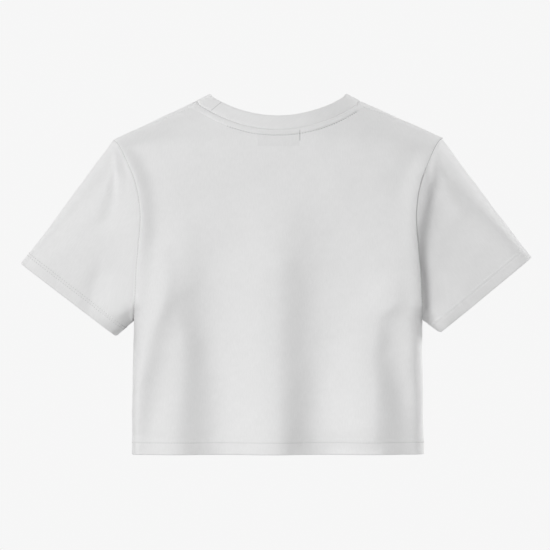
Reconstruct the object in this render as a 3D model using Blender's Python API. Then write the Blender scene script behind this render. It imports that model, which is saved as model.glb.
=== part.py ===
"""A cropped cotton T-shirt, filled out as if worn: front, back, two set-in sleeves and a rib neckband.

Metres, +Z up. The front faces -Y, the wearer's left is +X. The origin is the middle of the neck
opening, level with the points where the neckband meets the shoulders.

Every piece is a thin wall. Its outer points lie on a general torso of rounded sections, or on a
tube that leaves the armhole, and its inner points lie one wall further in.
"""

import math
from collections import namedtuple

import bpy
import numpy as np

# Cloth
JERSEY_WALL = 0.0016
HEM_WALL = 0.0027  # two layers, where the hem is turned up inside
RIB_WALL = 0.0027
SEAM_GAP = 0.0003

# Body
HEM_Z = -0.4490
ARMPIT_Z = -0.279
BODY_HEM = 0.020
HEM_STEP = 0.0012  # over this height the turned-up hem ends and the wall becomes single

# Shoulders
NECK_X = 0.106
SHOULDER_SLOPE = 0.4726  # fall over run
TIP_X = 0.2105
TIP_Z = -(TIP_X - NECK_X) * SHOULDER_SLOPE
SEAM_BEHIND_NECK = 0.022  # how far behind the ridge the shoulder seam lies
SEAM_BEHIND_TIP = 0.014
SEAM_TUCK = 0.0006  # the seam ends this much inside the tip of the ridge
SEARCH_DOWN = 0.03  # the seam lies less than this below the tip's height
HALVINGS = 40
RIGHT_LIFT = 0.003  # the right shoulder is worn this much higher at its tip
LIFT_FROM_X = 0.080
LIFT_DOWN = 0.240

# Neckline and neckband
BACK_NECK_X = 0.101
BACK_NECK_Z = -0.0371
FRONT_NECK_Z = -0.092
FRONT_NECK_ROUND = (2.2, 0.62)  # powers that shape the curve of the neckline
BACK_NECK_ROUND = (2.0, 0.95)
BAND_HEIGHT = 0.020
BAND_LEAN_SIDE = 0.0176  # how far the band's top edge leans in over its height
BAND_LEAN_BACK = 0.0085
BAND_LEAN_FRONT = 0.0045

# Sleeves
SLEEVE_HEM = 0.017
SLEEVE_DEPTH = 0.044  # half the opening, front to back
Sleeve = namedtuple("Sleeve", "name side outer_x outer_z lower_x lower_z square fuller_below")
SLEEVES = [
    Sleeve("sleeve_left", +1, 0.3280, -0.2072, 0.2075, -0.2996, 6.0, 0.10),
    Sleeve("sleeve_right", -1, 0.3242, -0.1990, 0.2068, -0.2960, 7.0, 0.40),
]
FOLD_FROM_SEAM = 0.010  # a sleeve's folds reach their height this far from the armhole

# The torso: rounded sections from the neck down to the hem. Above the shoulder tips the
# half width follows the shoulder line instead.
Section = namedtuple("Section", "z half_width back front back_square front_square")
TORSO = [
    Section(0.0100, 0.1060, 0.0300, 0.030, 2.00, 2.00),
    Section(0.0000, 0.1060, 0.0410, 0.040, 2.05, 2.05),
    Section(-0.0371, 0.1845, 0.0620, 0.060, 2.25, 2.10),
    Section(TIP_Z, 0.2105, 0.0675, 0.066, 2.45, 2.15),
    Section(-0.0600, 0.2270, 0.0705, 0.070, 2.65, 2.20),
    Section(-0.0900, 0.2400, 0.0755, 0.080, 3.00, 2.30),
    Section(-0.1200, 0.2240, 0.0790, 0.092, 3.35, 2.40),
    Section(-0.1500, 0.2130, 0.0815, 0.102, 3.70, 2.50),
    Section(-0.2100, 0.2010, 0.0832, 0.112, 4.60, 2.70),
    Section(-0.2440, 0.1985, 0.0831, 0.1130, 6.00, 2.85),
    Section(-0.2590, 0.1935, 0.0829, 0.1129, 7.00, 2.95),
    Section(-0.2690, 0.1858, 0.0827, 0.1127, 7.80, 3.10),
    Section(-0.2766, 0.1831, 0.0825, 0.1124, 8.30, 3.15),
    Section(ARMPIT_Z, 0.1828, 0.08245, 0.1123, 8.40, 3.15),
    Section(-0.3100, 0.1834, 0.0815, 0.1105, 9.00, 3.15),
    Section(HEM_Z, 0.1851, 0.0770, 0.1030, 9.00, 3.10),
]

# The armhole seam: half the distance across the panel at each height.
Armhole = namedtuple("Armhole", "z back front")
ARMHOLE = [
    Armhole(TIP_Z, 0.2105, 0.2105),
    Armhole(-0.0550, 0.2040, 0.2040),
    Armhole(-0.0800, 0.1910, 0.1890),
    Armhole(-0.1050, 0.1810, 0.1780),
    Armhole(-0.1290, 0.1760, 0.1720),
    Armhole(-0.1500, 0.1745, 0.1700),
    Armhole(-0.1840, 0.1770, 0.1730),
    Armhole(-0.2120, 0.1795, 0.1770),
    Armhole(-0.2400, 0.1810, 0.1800),
    Armhole(ARMPIT_Z, 0.1828, 0.1828),
]

BACK, FRONT = +1, -1
# A fold's places, from its top to its foot: where its line is, its widths towards +X and -X, and
# its height. A height above 0 is a ridge, below 0 a trough.
Fold = namedtuple("Fold", "piece side places")
Place = namedtuple("Place", "z x left right height")
FOLDS = [
    Fold("panel", BACK, [
        Place(-0.110, 0.000, 0.030, 0.036, 0.0),
        Place(-0.153, -0.003, 0.050, 0.036, 0.0048),
        Place(-0.190, -0.001, 0.052, 0.036, 0.0085),
        Place(-0.228, 0.003, 0.055, 0.036, 0.0122),
        Place(-0.279, 0.003, 0.055, 0.036, 0.0142),
        Place(-0.329, 0.002, 0.055, 0.036, 0.0178),
        Place(-0.417, 0.001, 0.055, 0.036, 0.0250),
    ]),
    Fold("panel", BACK, [
        Place(-0.140, 0.122, 0.040, 0.024, 0.0),
        Place(-0.190, 0.123, 0.045, 0.027, 0.0042),
        Place(-0.228, 0.125, 0.045, 0.028, 0.0080),
        Place(-0.254, 0.129, 0.045, 0.028, 0.0098),
        Place(-0.279, 0.127, 0.042, 0.026, 0.0118),
        Place(-0.304, 0.123, 0.040, 0.026, 0.0134),
        Place(-0.367, 0.125, 0.040, 0.031, 0.0170),
        Place(-0.417, 0.130, 0.040, 0.038, 0.0205),
    ]),
    Fold("panel", BACK, [
        Place(-0.178, 0.146, 0.030, 0.018, 0.0),
        Place(-0.228, 0.1450, 0.030, 0.018, 0.0060),
        Place(-0.254, 0.1480, 0.030, 0.018, 0.0085),
        Place(-0.279, 0.1580, 0.030, 0.019, 0.0118),
        Place(-0.304, 0.1690, 0.030, 0.023, 0.0150),
        Place(-0.329, 0.1755, 0.030, 0.025, 0.0185),
        Place(-0.367, 0.1875, 0.026, 0.028, 0.0245),
        Place(-0.392, 0.1900, 0.026, 0.027, 0.0245),
        Place(-0.425, 0.1930, 0.026, 0.024, 0.0200),
    ]),
    Fold("panel", BACK, [
        Place(-0.105, -0.172, 0.040, 0.030, 0.0),
        Place(-0.152, -0.172, 0.048, 0.030, 0.0050),
        Place(-0.203, -0.172, 0.055, 0.030, 0.0085),
        Place(-0.254, -0.170, 0.055, 0.030, 0.0080),
        Place(-0.300, -0.165, 0.050, 0.030, 0.0020),
        Place(-0.340, -0.160, 0.050, 0.030, 0.0),
    ]),
    Fold("panel", BACK, [
        Place(-0.215, -0.1510, 0.040, 0.018, 0.0),
        Place(-0.254, -0.1440, 0.050, 0.018, 0.0030),
        Place(-0.279, -0.1240, 0.050, 0.017, 0.0046),
        Place(-0.304, -0.1200, 0.050, 0.017, 0.0066),
        Place(-0.329, -0.1170, 0.050, 0.022, 0.0096),
        Place(-0.367, -0.1205, 0.050, 0.026, 0.0155),
        Place(-0.417, -0.1200, 0.050, 0.033, 0.0205),
        Place(-0.442, -0.1250, 0.050, 0.031, 0.0175),
    ]),
    Fold("panel", BACK, [
        Place(-0.250, -0.1780, 0.018, 0.014, 0.0),
        Place(-0.279, -0.1800, 0.018, 0.014, 0.0046),
        Place(-0.304, -0.1785, 0.018, 0.015, 0.0056),
        Place(-0.354, -0.1790, 0.020, 0.016, 0.0058),
        Place(-0.379, -0.1830, 0.020, 0.016, 0.0074),
        Place(-0.442, -0.1860, 0.018, 0.016, 0.0060),
    ]),
    Fold("panel", FRONT, [
        Place(-0.200, 0.050, 0.026, 0.034, 0.0),
        Place(-0.320, 0.056, 0.028, 0.038, 0.0080),
        Place(-0.430, 0.062, 0.030, 0.040, 0.0135),
    ]),
    Fold("panel", FRONT, [
        Place(-0.210, -0.038, 0.030, 0.024, 0.0),
        Place(-0.330, -0.042, 0.034, 0.026, 0.0065),
        Place(-0.430, -0.046, 0.036, 0.028, 0.0115),
    ]),
    Fold("panel", FRONT, [
        Place(-0.215, 0.140, 0.020, 0.018, 0.0),
        Place(-0.290, 0.122, 0.024, 0.020, 0.0040),
        Place(-0.430, 0.138, 0.026, 0.024, 0.0090),
    ]),
    Fold("panel", FRONT, [
        Place(-0.205, -0.142, 0.022, 0.020, 0.0),
        Place(-0.300, -0.116, 0.026, 0.022, 0.0055),
        Place(-0.430, -0.132, 0.028, 0.024, 0.0105),
    ]),
    Fold("sleeve_right", BACK, [
        Place(-0.056, -0.2050, 0.005, 0.005, 0.0),
        Place(-0.082, -0.2094, 0.006, 0.006, 0.0013),
        Place(-0.101, -0.2145, 0.008, 0.008, 0.0012),
        Place(-0.127, -0.2221, 0.010, 0.012, 0.0009),
        Place(-0.165, -0.2350, 0.012, 0.016, 0.0),
    ]),
    Fold("sleeve_right", FRONT, [
        Place(-0.060, -0.2060, 0.006, 0.006, 0.0),
        Place(-0.105, -0.2180, 0.009, 0.009, 0.0015),
        Place(-0.175, -0.2390, 0.014, 0.014, 0.0),
    ]),
    Fold("sleeve_right", FRONT, [
        Place(-0.170, -0.2250, 0.016, 0.012, 0.0),
        Place(-0.225, -0.2340, 0.018, 0.014, -0.0020),
        Place(-0.275, -0.2400, 0.020, 0.014, -0.0022),
    ]),
    Fold("sleeve_left", BACK, [
        Place(-0.052, 0.2060, 0.005, 0.005, 0.0),
        Place(-0.063, 0.2050, 0.006, 0.006, -0.0035),
        Place(-0.082, 0.2062, 0.006, 0.007, -0.0075),
        Place(-0.101, 0.2050, 0.008, 0.009, -0.0078),
        Place(-0.127, 0.2080, 0.011, 0.012, -0.0062),
        Place(-0.170, 0.2200, 0.016, 0.016, 0.0),
    ]),
    Fold("sleeve_left", BACK, [
        Place(-0.085, 0.2200, 0.008, 0.012, 0.0),
        Place(-0.127, 0.2412, 0.008, 0.014, -0.0013),
        Place(-0.178, 0.2792, 0.009, 0.016, -0.0016),
        Place(-0.205, 0.3000, 0.010, 0.018, 0.0),
    ]),
    Fold("sleeve_left", BACK, [
        Place(-0.175, 0.2160, 0.014, 0.020, 0.0),
        Place(-0.203, 0.2221, 0.014, 0.022, -0.0022),
        Place(-0.228, 0.2285, 0.014, 0.022, -0.0044),
        Place(-0.254, 0.2348, 0.014, 0.022, -0.0046),
        Place(-0.285, 0.2380, 0.014, 0.022, -0.0036),
    ]),
    Fold("sleeve_left", BACK, [
        Place(-0.215, 0.1853, 0.005, 0.005, 0.0),
        Place(-0.241, 0.1860, 0.005, 0.005, -0.0012),
        Place(-0.260, 0.1870, 0.006, 0.006, -0.0020),
        Place(-0.285, 0.1900, 0.006, 0.006, -0.0018),
    ]),
    Fold("sleeve_left", FRONT, [
        Place(-0.060, 0.2060, 0.006, 0.006, 0.0),
        Place(-0.100, 0.2120, 0.010, 0.010, -0.0016),
        Place(-0.170, 0.2300, 0.016, 0.016, 0.0),
    ]),
    Fold("sleeve_left", FRONT, [
        Place(-0.150, 0.2400, 0.012, 0.018, 0.0),
        Place(-0.210, 0.2520, 0.014, 0.020, -0.0020),
        Place(-0.260, 0.2600, 0.014, 0.020, -0.0022),
    ]),
]

# The body stands up in a soft ridge along each armhole, highest at the seam.
Ridge = namedtuple("Ridge", "side hand width height")
RIDGES = [
    Ridge(BACK, +1, 0.015, 0.0094),
    Ridge(BACK, -1, 0.016, 0.0040),
    Ridge(FRONT, +1, 0.016, 0.0022),
    Ridge(FRONT, -1, 0.012, 0.0024),
]
RIDGE_FADE = 0.030

# Beside its armhole a sleeve drops by depth, steepest at away from the seam.
Drop = namedtuple("Drop", "piece side z away width depth")
DROPS = [
    Drop("sleeve_right", BACK, -0.052, 0.0020, 0.0020, 0.0),
    Drop("sleeve_right", BACK, -0.058, 0.0022, 0.0020, 0.0024),
    Drop("sleeve_right", BACK, -0.065, 0.0028, 0.0024, 0.0036),
    Drop("sleeve_right", BACK, -0.077, 0.0042, 0.0034, 0.0056),
    Drop("sleeve_right", BACK, -0.090, 0.0084, 0.0050, 0.0080),
    Drop("sleeve_right", BACK, -0.101, 0.0130, 0.0058, 0.0094),
    Drop("sleeve_right", BACK, -0.127, 0.0144, 0.0063, 0.0102),
    Drop("sleeve_right", BACK, -0.152, 0.0122, 0.0070, 0.0104),
    Drop("sleeve_right", BACK, -0.178, 0.0062, 0.0070, 0.0112),
    Drop("sleeve_right", BACK, -0.203, 0.0034, 0.0060, 0.0122),
    Drop("sleeve_right", BACK, -0.229, 0.0034, 0.0052, 0.0130),
    Drop("sleeve_right", BACK, -0.254, 0.0030, 0.0052, 0.0130),
    Drop("sleeve_right", BACK, -0.296, 0.0035, 0.0055, 0.0060),
    Drop("sleeve_right", FRONT, -0.055, 0.0060, 0.0080, 0.0),
    Drop("sleeve_right", FRONT, -0.110, 0.0140, 0.0110, 0.0040),
    Drop("sleeve_right", FRONT, -0.240, 0.0080, 0.0100, 0.0055),
    Drop("sleeve_right", FRONT, -0.296, 0.0060, 0.0080, 0.0020),
    Drop("sleeve_left", BACK, -0.055, 0.0060, 0.0080, 0.0),
    Drop("sleeve_left", BACK, -0.090, 0.0160, 0.0120, 0.0026),
    Drop("sleeve_left", BACK, -0.150, 0.0200, 0.0160, 0.0036),
    Drop("sleeve_left", BACK, -0.230, 0.0130, 0.0120, 0.0034),
    Drop("sleeve_left", BACK, -0.300, 0.0060, 0.0080, 0.0010),
    Drop("sleeve_left", FRONT, -0.055, 0.0060, 0.0080, 0.0),
    Drop("sleeve_left", FRONT, -0.120, 0.0120, 0.0090, 0.0048),
    Drop("sleeve_left", FRONT, -0.240, 0.0060, 0.0080, 0.0060),
    Drop("sleeve_left", FRONT, -0.300, 0.0050, 0.0070, 0.0020),
]
SIDE_FADE = 0.030  # folds flatten where the cloth is this close to the side seams

# Grid
COLUMNS = 44
LOWER_ROWS = 7
ARMHOLE_FALLS = [0.0, 0.022, 0.05, 0.085, 0.13, 0.185, 0.25, 0.32, 0.40, 0.48, 0.56, 0.64, 0.72,
                 0.80, 0.87, 0.925, 0.965, 0.988, 1.0]  # shares of the way from the top edge down
QUARTER_SHARE = {BACK: 0.58, FRONT: 0.64}  # where a panel's quarter columns run, mid armhole
SPREAD_RATE = {BACK: 5.0, FRONT: 9.0}  # how soon below the top edge they get there
SETTLE_POWER = 2.2  # how late above the armpit the columns settle round the whole section
CURVE_SAMPLES = 700
STEEP_BELOW = 0.7  # below this share of the depth a section is steep, and x comes from y
SLEEVE_STEPS = [0.0, 0.05, 0.11, 0.18, 0.27, 0.38, 0.52, 0.68, 0.84, 1.0]
BAND_STEPS = [0.0, 0.35, 0.7, 1.0]

SHARP_ANGLE = 50
WHITE = (0.86, 0.86, 0.85, 1.0)
COLLECTION = "crop_top"


def smooth(value):
    """0 below 0, 1 above 1, and a soft step between."""
    value = np.clip(value, 0.0, 1.0)
    return value * value * (3.0 - 2.0 * value)


def curve(places, values):
    """A smooth function through the values that never overshoots them."""
    order = np.argsort(places)
    x = np.asarray(places, float)[order]
    y = np.asarray(values, float)[order]
    step = np.diff(x)
    rise = np.diff(y) / step
    slope = np.zeros(len(x))
    slope[0], slope[-1] = rise[0], rise[-1]
    same_way = rise[:-1] * rise[1:] > 0
    safe = np.where(same_way, rise[:-1] + rise[1:], 1.0)
    slope[1:-1] = np.where(same_way, 2.0 * rise[:-1] * rise[1:] / safe, 0.0)

    def value(at):
        at = np.clip(np.asarray(at, float), x[0], x[-1])
        k = np.clip(np.searchsorted(x, at) - 1, 0, len(step) - 1)
        t = (at - x[k]) / step[k]
        near = (1 + 2 * t) * (1 - t) ** 2 * y[k] + t * (1 - t) ** 2 * step[k] * slope[k]
        far = t * t * (3 - 2 * t) * y[k + 1] + t * t * (t - 1) * step[k] * slope[k + 1]
        return near + far

    return value


def column(table, name):
    """The curve of one column of a table against its heights."""
    return curve([row.z for row in table], [getattr(row, name) for row in table])


wide = column(TORSO, "half_width")
deep = {BACK: column(TORSO, "back"), FRONT: column(TORSO, "front")}
squareness = {BACK: column(TORSO, "back_square"), FRONT: column(TORSO, "front_square")}
armhole_x = {BACK: column(ARMHOLE, "back"), FRONT: column(ARMHOLE, "front")}


def half_width(z):
    shoulder_line = NECK_X - z / SHOULDER_SLOPE
    return np.where(z > TIP_Z, shoulder_line, wide(z))


def bare_depth(x, z, side):
    """How far the torso stands out at x and z, without folds."""
    power = squareness[side](z)
    across = np.clip(np.abs(x) / half_width(z), 0.0, 1.0)
    return deep[side](z) * (1.0 - across**power) ** (1.0 / power)


def bump(distance, width):
    """A soft hump of height 1 where distance is 0."""
    return np.exp(-((distance / width) ** 2))


def fold_height(x, z, piece, side):
    """The height of a piece's folds at x and z, seen square on from the back or front."""
    total = np.zeros(np.broadcast(x, z).shape)
    for fold in FOLDS:
        if (fold.piece, fold.side) == (piece, side):
            line, left, right, height = (column(fold.places, name)(z) for name in Place._fields[1:])
            total += height * bump(x - line, np.where(x > line, left, right))
    return total


def seam_ridge(x, z, side):
    """How far the body stands up beside its armholes."""
    inside = armhole_x[side](z) - np.abs(x)
    ends = smooth((z - ARMPIT_Z) / RIDGE_FADE) * smooth((TIP_Z - z) / RIDGE_FADE)
    total = np.zeros(np.broadcast(x, z).shape)
    for ridge in RIDGES:
        if ridge.side == side:
            total += np.where(x * ridge.hand > 0, ridge.height * bump(inside, ridge.width), 0.0)
    return total * ends


def seam_drop(x, z, piece, side):
    """How far a sleeve drops at x and z, from nothing at the armhole seam."""
    rows = [row for row in DROPS if (row.piece, row.side) == (piece, side)]
    away, width, depth = (column(rows, name)(z) for name in Drop._fields[3:])
    aside = np.clip(np.abs(x) - armhole_x[side](z), 0.0, None)
    start = np.tanh(-away / width)
    return depth * (np.tanh((aside - away) / width) - start) / (1.0 - start)


def unit(vectors):
    return vectors / np.linalg.norm(vectors, axis=-1, keepdims=True)


def torso(x, z, side):
    """Points of the cloth at x and z on the back (+1) or the front (-1), folds included."""
    x, z = np.broadcast_arrays(np.asarray(x, float), np.asarray(z, float))
    depth = bare_depth(x, z, side)
    folds = fold_height(x, z, "panel", side) + seam_ridge(x, z, side)
    depth = depth + folds * smooth(depth / SIDE_FADE)
    return np.stack([x, side * depth, z], axis=-1)


def lift_right(points):
    """Raises the wearer's right shoulder a little, less towards the neck and the chest."""
    x, z = points[..., 0], points[..., 2]
    aside = smooth((-x - LIFT_FROM_X) / (TIP_X - LIFT_FROM_X))
    z += RIGHT_LIFT * aside * smooth(1 + z / LIFT_DOWN)
    return points


def over_shoulder(x, behind):
    """Points of the torso just behind the shoulder ridge, found by halving."""
    low = np.full(x.shape, TIP_Z - SEARCH_DOWN)
    high = (NECK_X - x) * SHOULDER_SLOPE
    for _ in range(HALVINGS):
        middle = (low + high) / 2
        too_low = bare_depth(x, middle, BACK) > behind
        low = np.where(too_low, middle, low)
        high = np.where(too_low, high, middle)
    return np.stack([x, behind * np.ones(x.shape), low], axis=-1)


def shoulder_rows(places):
    """The shoulder seam and the row halfway to the ridge, for the columns past the neck."""
    past_neck = np.clip((np.abs(places) - 0.5) / 0.5, 0.0, 1.0)
    x = BACK_NECK_X + (TIP_X - SEAM_TUCK - BACK_NECK_X) * past_neck
    behind = SEAM_BEHIND_NECK + (SEAM_BEHIND_TIP - SEAM_BEHIND_NECK) * past_neck
    ridge_x = NECK_X + (TIP_X - NECK_X) * past_neck
    seam = over_shoulder(x, behind)
    halfway = over_shoulder((x + ridge_x) / 2, behind / 2)
    for row in (seam, halfway):
        row[:, 0] *= np.sign(places)
    return seam, halfway


def top_edge(places, side):
    """The x and z of a panel's top row: neckline in the middle half, shoulder on the outer ones."""
    on_neck = np.abs(places) <= 0.5
    past_neck = np.clip((np.abs(places) - 0.5) / 0.5, 0.0, 1.0)
    if side == BACK:
        seam, _ = shoulder_rows(places)
        seam_z = seam[np.abs(np.abs(places) - 0.5).argmin(), 2]
        share = np.clip(2 * np.abs(places), 0.0, 1.0)
        power, root = BACK_NECK_ROUND
        neck_z = seam_z + (BACK_NECK_Z - seam_z) * (1 - share**power) ** root
        x = np.where(on_neck, 2 * places * BACK_NECK_X, seam[:, 0])
        z = np.where(on_neck, neck_z, seam[:, 2])
    else:
        power, root = FRONT_NECK_ROUND
        share = np.sin(np.clip(np.abs(places), 0.0, 0.5) * math.pi)
        ridge_x = NECK_X + (TIP_X - NECK_X) * past_neck
        neck_z = FRONT_NECK_Z * (1 - share**power) ** root
        x = np.where(on_neck, NECK_X * share, ridge_x) * np.sign(places)
        z = np.where(on_neck, neck_z, (NECK_X - ridge_x) * SHOULDER_SLOPE)
    return x, z


def lengths_along(line):
    return np.concatenate([[0.0], np.cumsum(np.linalg.norm(np.diff(line, axis=0), axis=1))])


def rounded(power, ratio):
    """A quarter of a rounded section from its middle, (0, ratio), to its side, (1, 0)."""
    turn = np.linspace(0.0, math.pi / 2, CURVE_SAMPLES)
    return np.stack([np.sin(turn) ** (2 / power), ratio * np.cos(turn) ** (2 / power)], axis=-1)


def around(places, z, side, edge_x):
    """The x of columns spaced evenly round the torso's section from its middle to edge_x."""
    power, ratio = squareness[side](z), deep[side](z) / half_width(z)
    line = rounded(power, ratio)
    travel = lengths_along(line)
    edge_y = ratio * max(1.0 - (edge_x / half_width(z)) ** power, 0.0) ** (1 / power)
    at = np.abs(places) * np.interp(-edge_y, -line[:, 1], travel)
    x, y = (np.interp(at, travel, line[:, k]) for k in (0, 1))
    beside = (1.0 - np.clip(y / ratio, 0.0, 1.0) ** power) ** (1 / power)
    return np.sign(places) * np.where(y < STEEP_BELOW * ratio, beside, x) * half_width(z)


def panel_grid(side):
    """Rows from the hem up to the neckline and shoulder, columns from the right to the left side."""
    places = np.linspace(-1.0, 1.0, COLUMNS + 1)
    hem_top = HEM_Z + BODY_HEM
    heights = [HEM_Z, hem_top]
    heights += list(np.linspace(hem_top + HEM_STEP, ARMPIT_Z, LOWER_ROWS + 1)[:-1])
    rows = [torso(around(places, z, side, half_width(z)), z, side) for z in heights]
    top_x, top_z = top_edge(places, side)
    top_share = top_x / top_x[-1]
    quarter = QUARTER_SHARE[side]
    middle_share = np.interp(places, [-1.0, -0.5, 0.0, 0.5, 1.0], [-1.0, -quarter, 0.0, quarter, 1.0])
    armpit_x = half_width(ARMPIT_Z)
    armpit_share = around(places, ARMPIT_Z, side, armpit_x) / armpit_x
    for fall in ARMHOLE_FALLS[::-1]:
        z = top_z + (ARMPIT_Z - top_z) * fall
        edge_x = armhole_x[side](z[-1]) if fall else top_x[-1]
        spread = 1.0 - math.exp(-SPREAD_RATE[side] * fall)
        share = top_share + (middle_share - top_share) * spread
        share = share + (armpit_share - share) * fall**SETTLE_POWER
        rows.append(torso(edge_x * share, z, side))
    if side == BACK:
        seam, _ = shoulder_rows(places)
        past_neck = np.abs(places) >= 0.5
        rows[-1][past_neck] = seam[past_neck]
    else:
        rows += shoulder_rows(places)[::-1]
    return lift_right(np.array(rows))


def in_order(back, front, column_index):
    """The armhole from the armpit up the back, over the shoulder and down the front."""
    start = len(back) - len(ARMHOLE_FALLS)
    up = back[start:, column_index]
    down = front[start:-1, column_index][::-1]
    return np.concatenate([up, down])[:-1]


def sleeve_grid(sleeve, armhole):
    """Rings from the armhole to the sleeve's hem, each starting at the underarm."""
    outer = np.array([sleeve.outer_x, 0.0, sleeve.outer_z])
    lower = np.array([sleeve.lower_x, 0.0, sleeve.lower_z])
    mirror = np.array([sleeve.side, 1.0, 1.0])
    centre = (outer + lower) / 2
    across = unit(outer - lower)
    half = np.linalg.norm(outer - lower) / 2
    axis = np.array([across[2], 0.0, -across[0]]) * mirror
    travel = lengths_along(np.vstack([armhole, armhole[:1]]))
    tip = np.argmax(armhole[:, 2])
    on_back = travel[:-1] <= travel[tip]
    front_share = (travel[-1] - travel[:-1]) / (travel[-1] - travel[tip])
    share = np.where(on_back, travel[:-1] / travel[tip], front_share)
    quarter = rounded(sleeve.square, SLEEVE_DEPTH / half) * half
    bend = np.vstack([quarter[::-1] * (-1, 1), quarter[1:]])
    bent = lengths_along(bend)
    high, thick = (np.interp(share * bent[-1], bent, bend[:, k]) for k in (0, 1))
    thick = thick * (1.0 + sleeve.fuller_below * smooth((1.0 - high / half) / 2))
    thick = np.where(on_back, thick, -thick)
    hem = (centre + high[:, None] * across + thick[:, None] * np.array([0.0, 1.0, 0.0])) * mirror
    reach = ((hem - armhole) @ axis)[:, None]
    hem_top = hem - (hem - armhole) * SLEEVE_HEM / reach
    hem_end = hem_top + (hem - armhole) * HEM_STEP / reach
    rings = np.array([armhole + (hem_top - armhole) * step for step in SLEEVE_STEPS])
    x, z = rings[..., 0], rings[..., 2]
    facing = np.where(on_back, BACK, FRONT)
    from_seam = smooth(np.linalg.norm(rings - armhole, axis=2) / FOLD_FROM_SEAM)
    to_hem = 1.0 - np.array(SLEEVE_STEPS)[:, None]
    for side in (BACK, FRONT):
        drop = seam_drop(x, z, sleeve.name, side)
        lift = fold_height(x, z, sleeve.name, side) * from_seam - (drop - drop[0]) * to_hem
        lift = lift * smooth(np.abs(rings[..., 1]) / SIDE_FADE)
        rings[..., 1] += np.where(facing == side, side * lift, 0.0)
    return np.concatenate([rings, [hem_end, hem]])


def neck_loop(back, front):
    """The neckline: the back from right to left, over the shoulder, and the front back again."""
    columns = back.shape[1] - 1
    right, left = columns // 4, columns - columns // 4
    over_left = front[-2, left][None]
    over_right = front[-2, right][None]
    return np.concatenate(
        [back[-1, right : left + 1], over_left, front[-3, right : left + 1][::-1], over_right]
    )


def band_grid(loop, steps):
    """Rings from the neckline up to the band's folded edge, which leans in."""
    ahead = unit(np.roll(loop, -1, axis=0) - np.roll(loop, 1, axis=0))
    inward = unit(np.stack([ahead[:, 1], -ahead[:, 0], 0 * ahead[:, 0]], axis=-1))
    inward = inward * -np.sign(np.sum(inward * (loop - loop.mean(axis=0)), axis=1))[:, None]
    middle_lean = np.where(loop[:, 1] > 0, BAND_LEAN_BACK, BAND_LEAN_FRONT)
    sideways = np.clip(np.abs(loop[:, 0]) / NECK_X, 0.0, 1.0) ** 3
    lean = middle_lean + (BAND_LEAN_SIDE - middle_lean) * sideways
    rise = np.sqrt(BAND_HEIGHT**2 - lean**2)
    top = inward * lean[:, None] + np.array([0.0, 0.0, 1.0]) * rise[:, None]
    top = top - ahead * np.sum(top * ahead, axis=1)[:, None]
    return np.array([loop + unit(top) * BAND_HEIGHT * step for step in steps])


class Cloth:
    """One cut piece: a grid of outer points, a wall for each of them, and the cells that it has."""

    def __init__(self, name, points, wall, ring=False, missing=()):
        self.name = name
        self.points = points.reshape(-1, 3).copy()
        self.wall = np.broadcast_to(wall, points.shape[:2]).reshape(-1)
        rows, columns = points.shape[:2]
        self.faces = []
        for i in range(rows - 1):
            for j in range(columns if ring else columns - 1):
                if (i, j) not in missing:
                    far = (j + 1) % columns
                    corners = (i, j), (i, far), (i + 1, far), (i + 1, j)
                    self.faces.append([r * columns + c for r, c in corners])

    def turn_outward(self, centre):
        """Reverses the faces if they look towards the hollow."""
        looks = 0.0
        for face in self.faces:
            a, b, c, d = self.points[face]
            looks += np.dot(np.cross(c - a, d - b), (a + c) / 2 - centre)
        if looks < 0:
            self.faces = [face[::-1] for face in self.faces]

    def normals(self):
        total = np.zeros_like(self.points)
        for face in self.faces:
            a, b, c, d = self.points[face]
            total[face] += unit(np.cross(c - a, d - b))
        length = np.linalg.norm(total, axis=1, keepdims=True)
        return total / np.where(length > 0, length, 1.0)

    def edges(self):
        """The open edges, each with the face that it belongs to."""
        seen = {}
        for face in self.faces:
            for a, b in zip(face, face[1:] + face[:1]):
                seen.setdefault(frozenset((a, b)), []).append((a, b, face))
        return [found[0] for found in seen.values() if len(found) == 1]


def keys(points):
    return [tuple(np.round(point * 1e6).astype(int)) for point in points]


def meet_at_seams(pieces):
    """Gives pieces that share a seam the same wall direction there, and parts them by the gap."""
    shared = {}
    for piece in pieces:
        piece.out = piece.normals()
        used = {corner for a, b, _ in piece.edges() for corner in (a, b)}
        for corner in used:
            key = keys([piece.points[corner]])[0]
            shared.setdefault(key, []).append((piece, corner))
    seams = {key: uses for key, uses in shared.items() if len(uses) > 1}
    for uses in seams.values():
        common = unit(sum(piece.out[corner] for piece, corner in uses))
        for piece, corner in uses:
            piece.out[corner] = common
    for piece in pieces:
        names = keys(piece.points)
        piece.rank = names
        pulls = {}
        for a, b, face in piece.edges():
            if names[a] in seams and names[b] in seams:
                seam_line = unit(piece.points[b] - piece.points[a])
                pull = piece.points[face].mean(axis=0) - (piece.points[a] + piece.points[b]) / 2
                pull = unit(pull - seam_line * np.dot(pull, seam_line))
                pulls.setdefault(a, []).append(pull)
                pulls.setdefault(b, []).append(pull)
        for corner, found in pulls.items():
            total = sum(found)
            share = len(found) / max(np.dot(total, total), 0.5)
            piece.points[corner] = piece.points[corner] + total * share * SEAM_GAP / 2


def edge_strip(a, b, count, a_first):
    """Two triangles along an open edge, cut the same way on both pieces of a seam."""
    if a_first:
        return [[b, a, b + count], [a, a + count, b + count]]
    return [[b, a, a + count], [b, a + count, b + count]]


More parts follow.
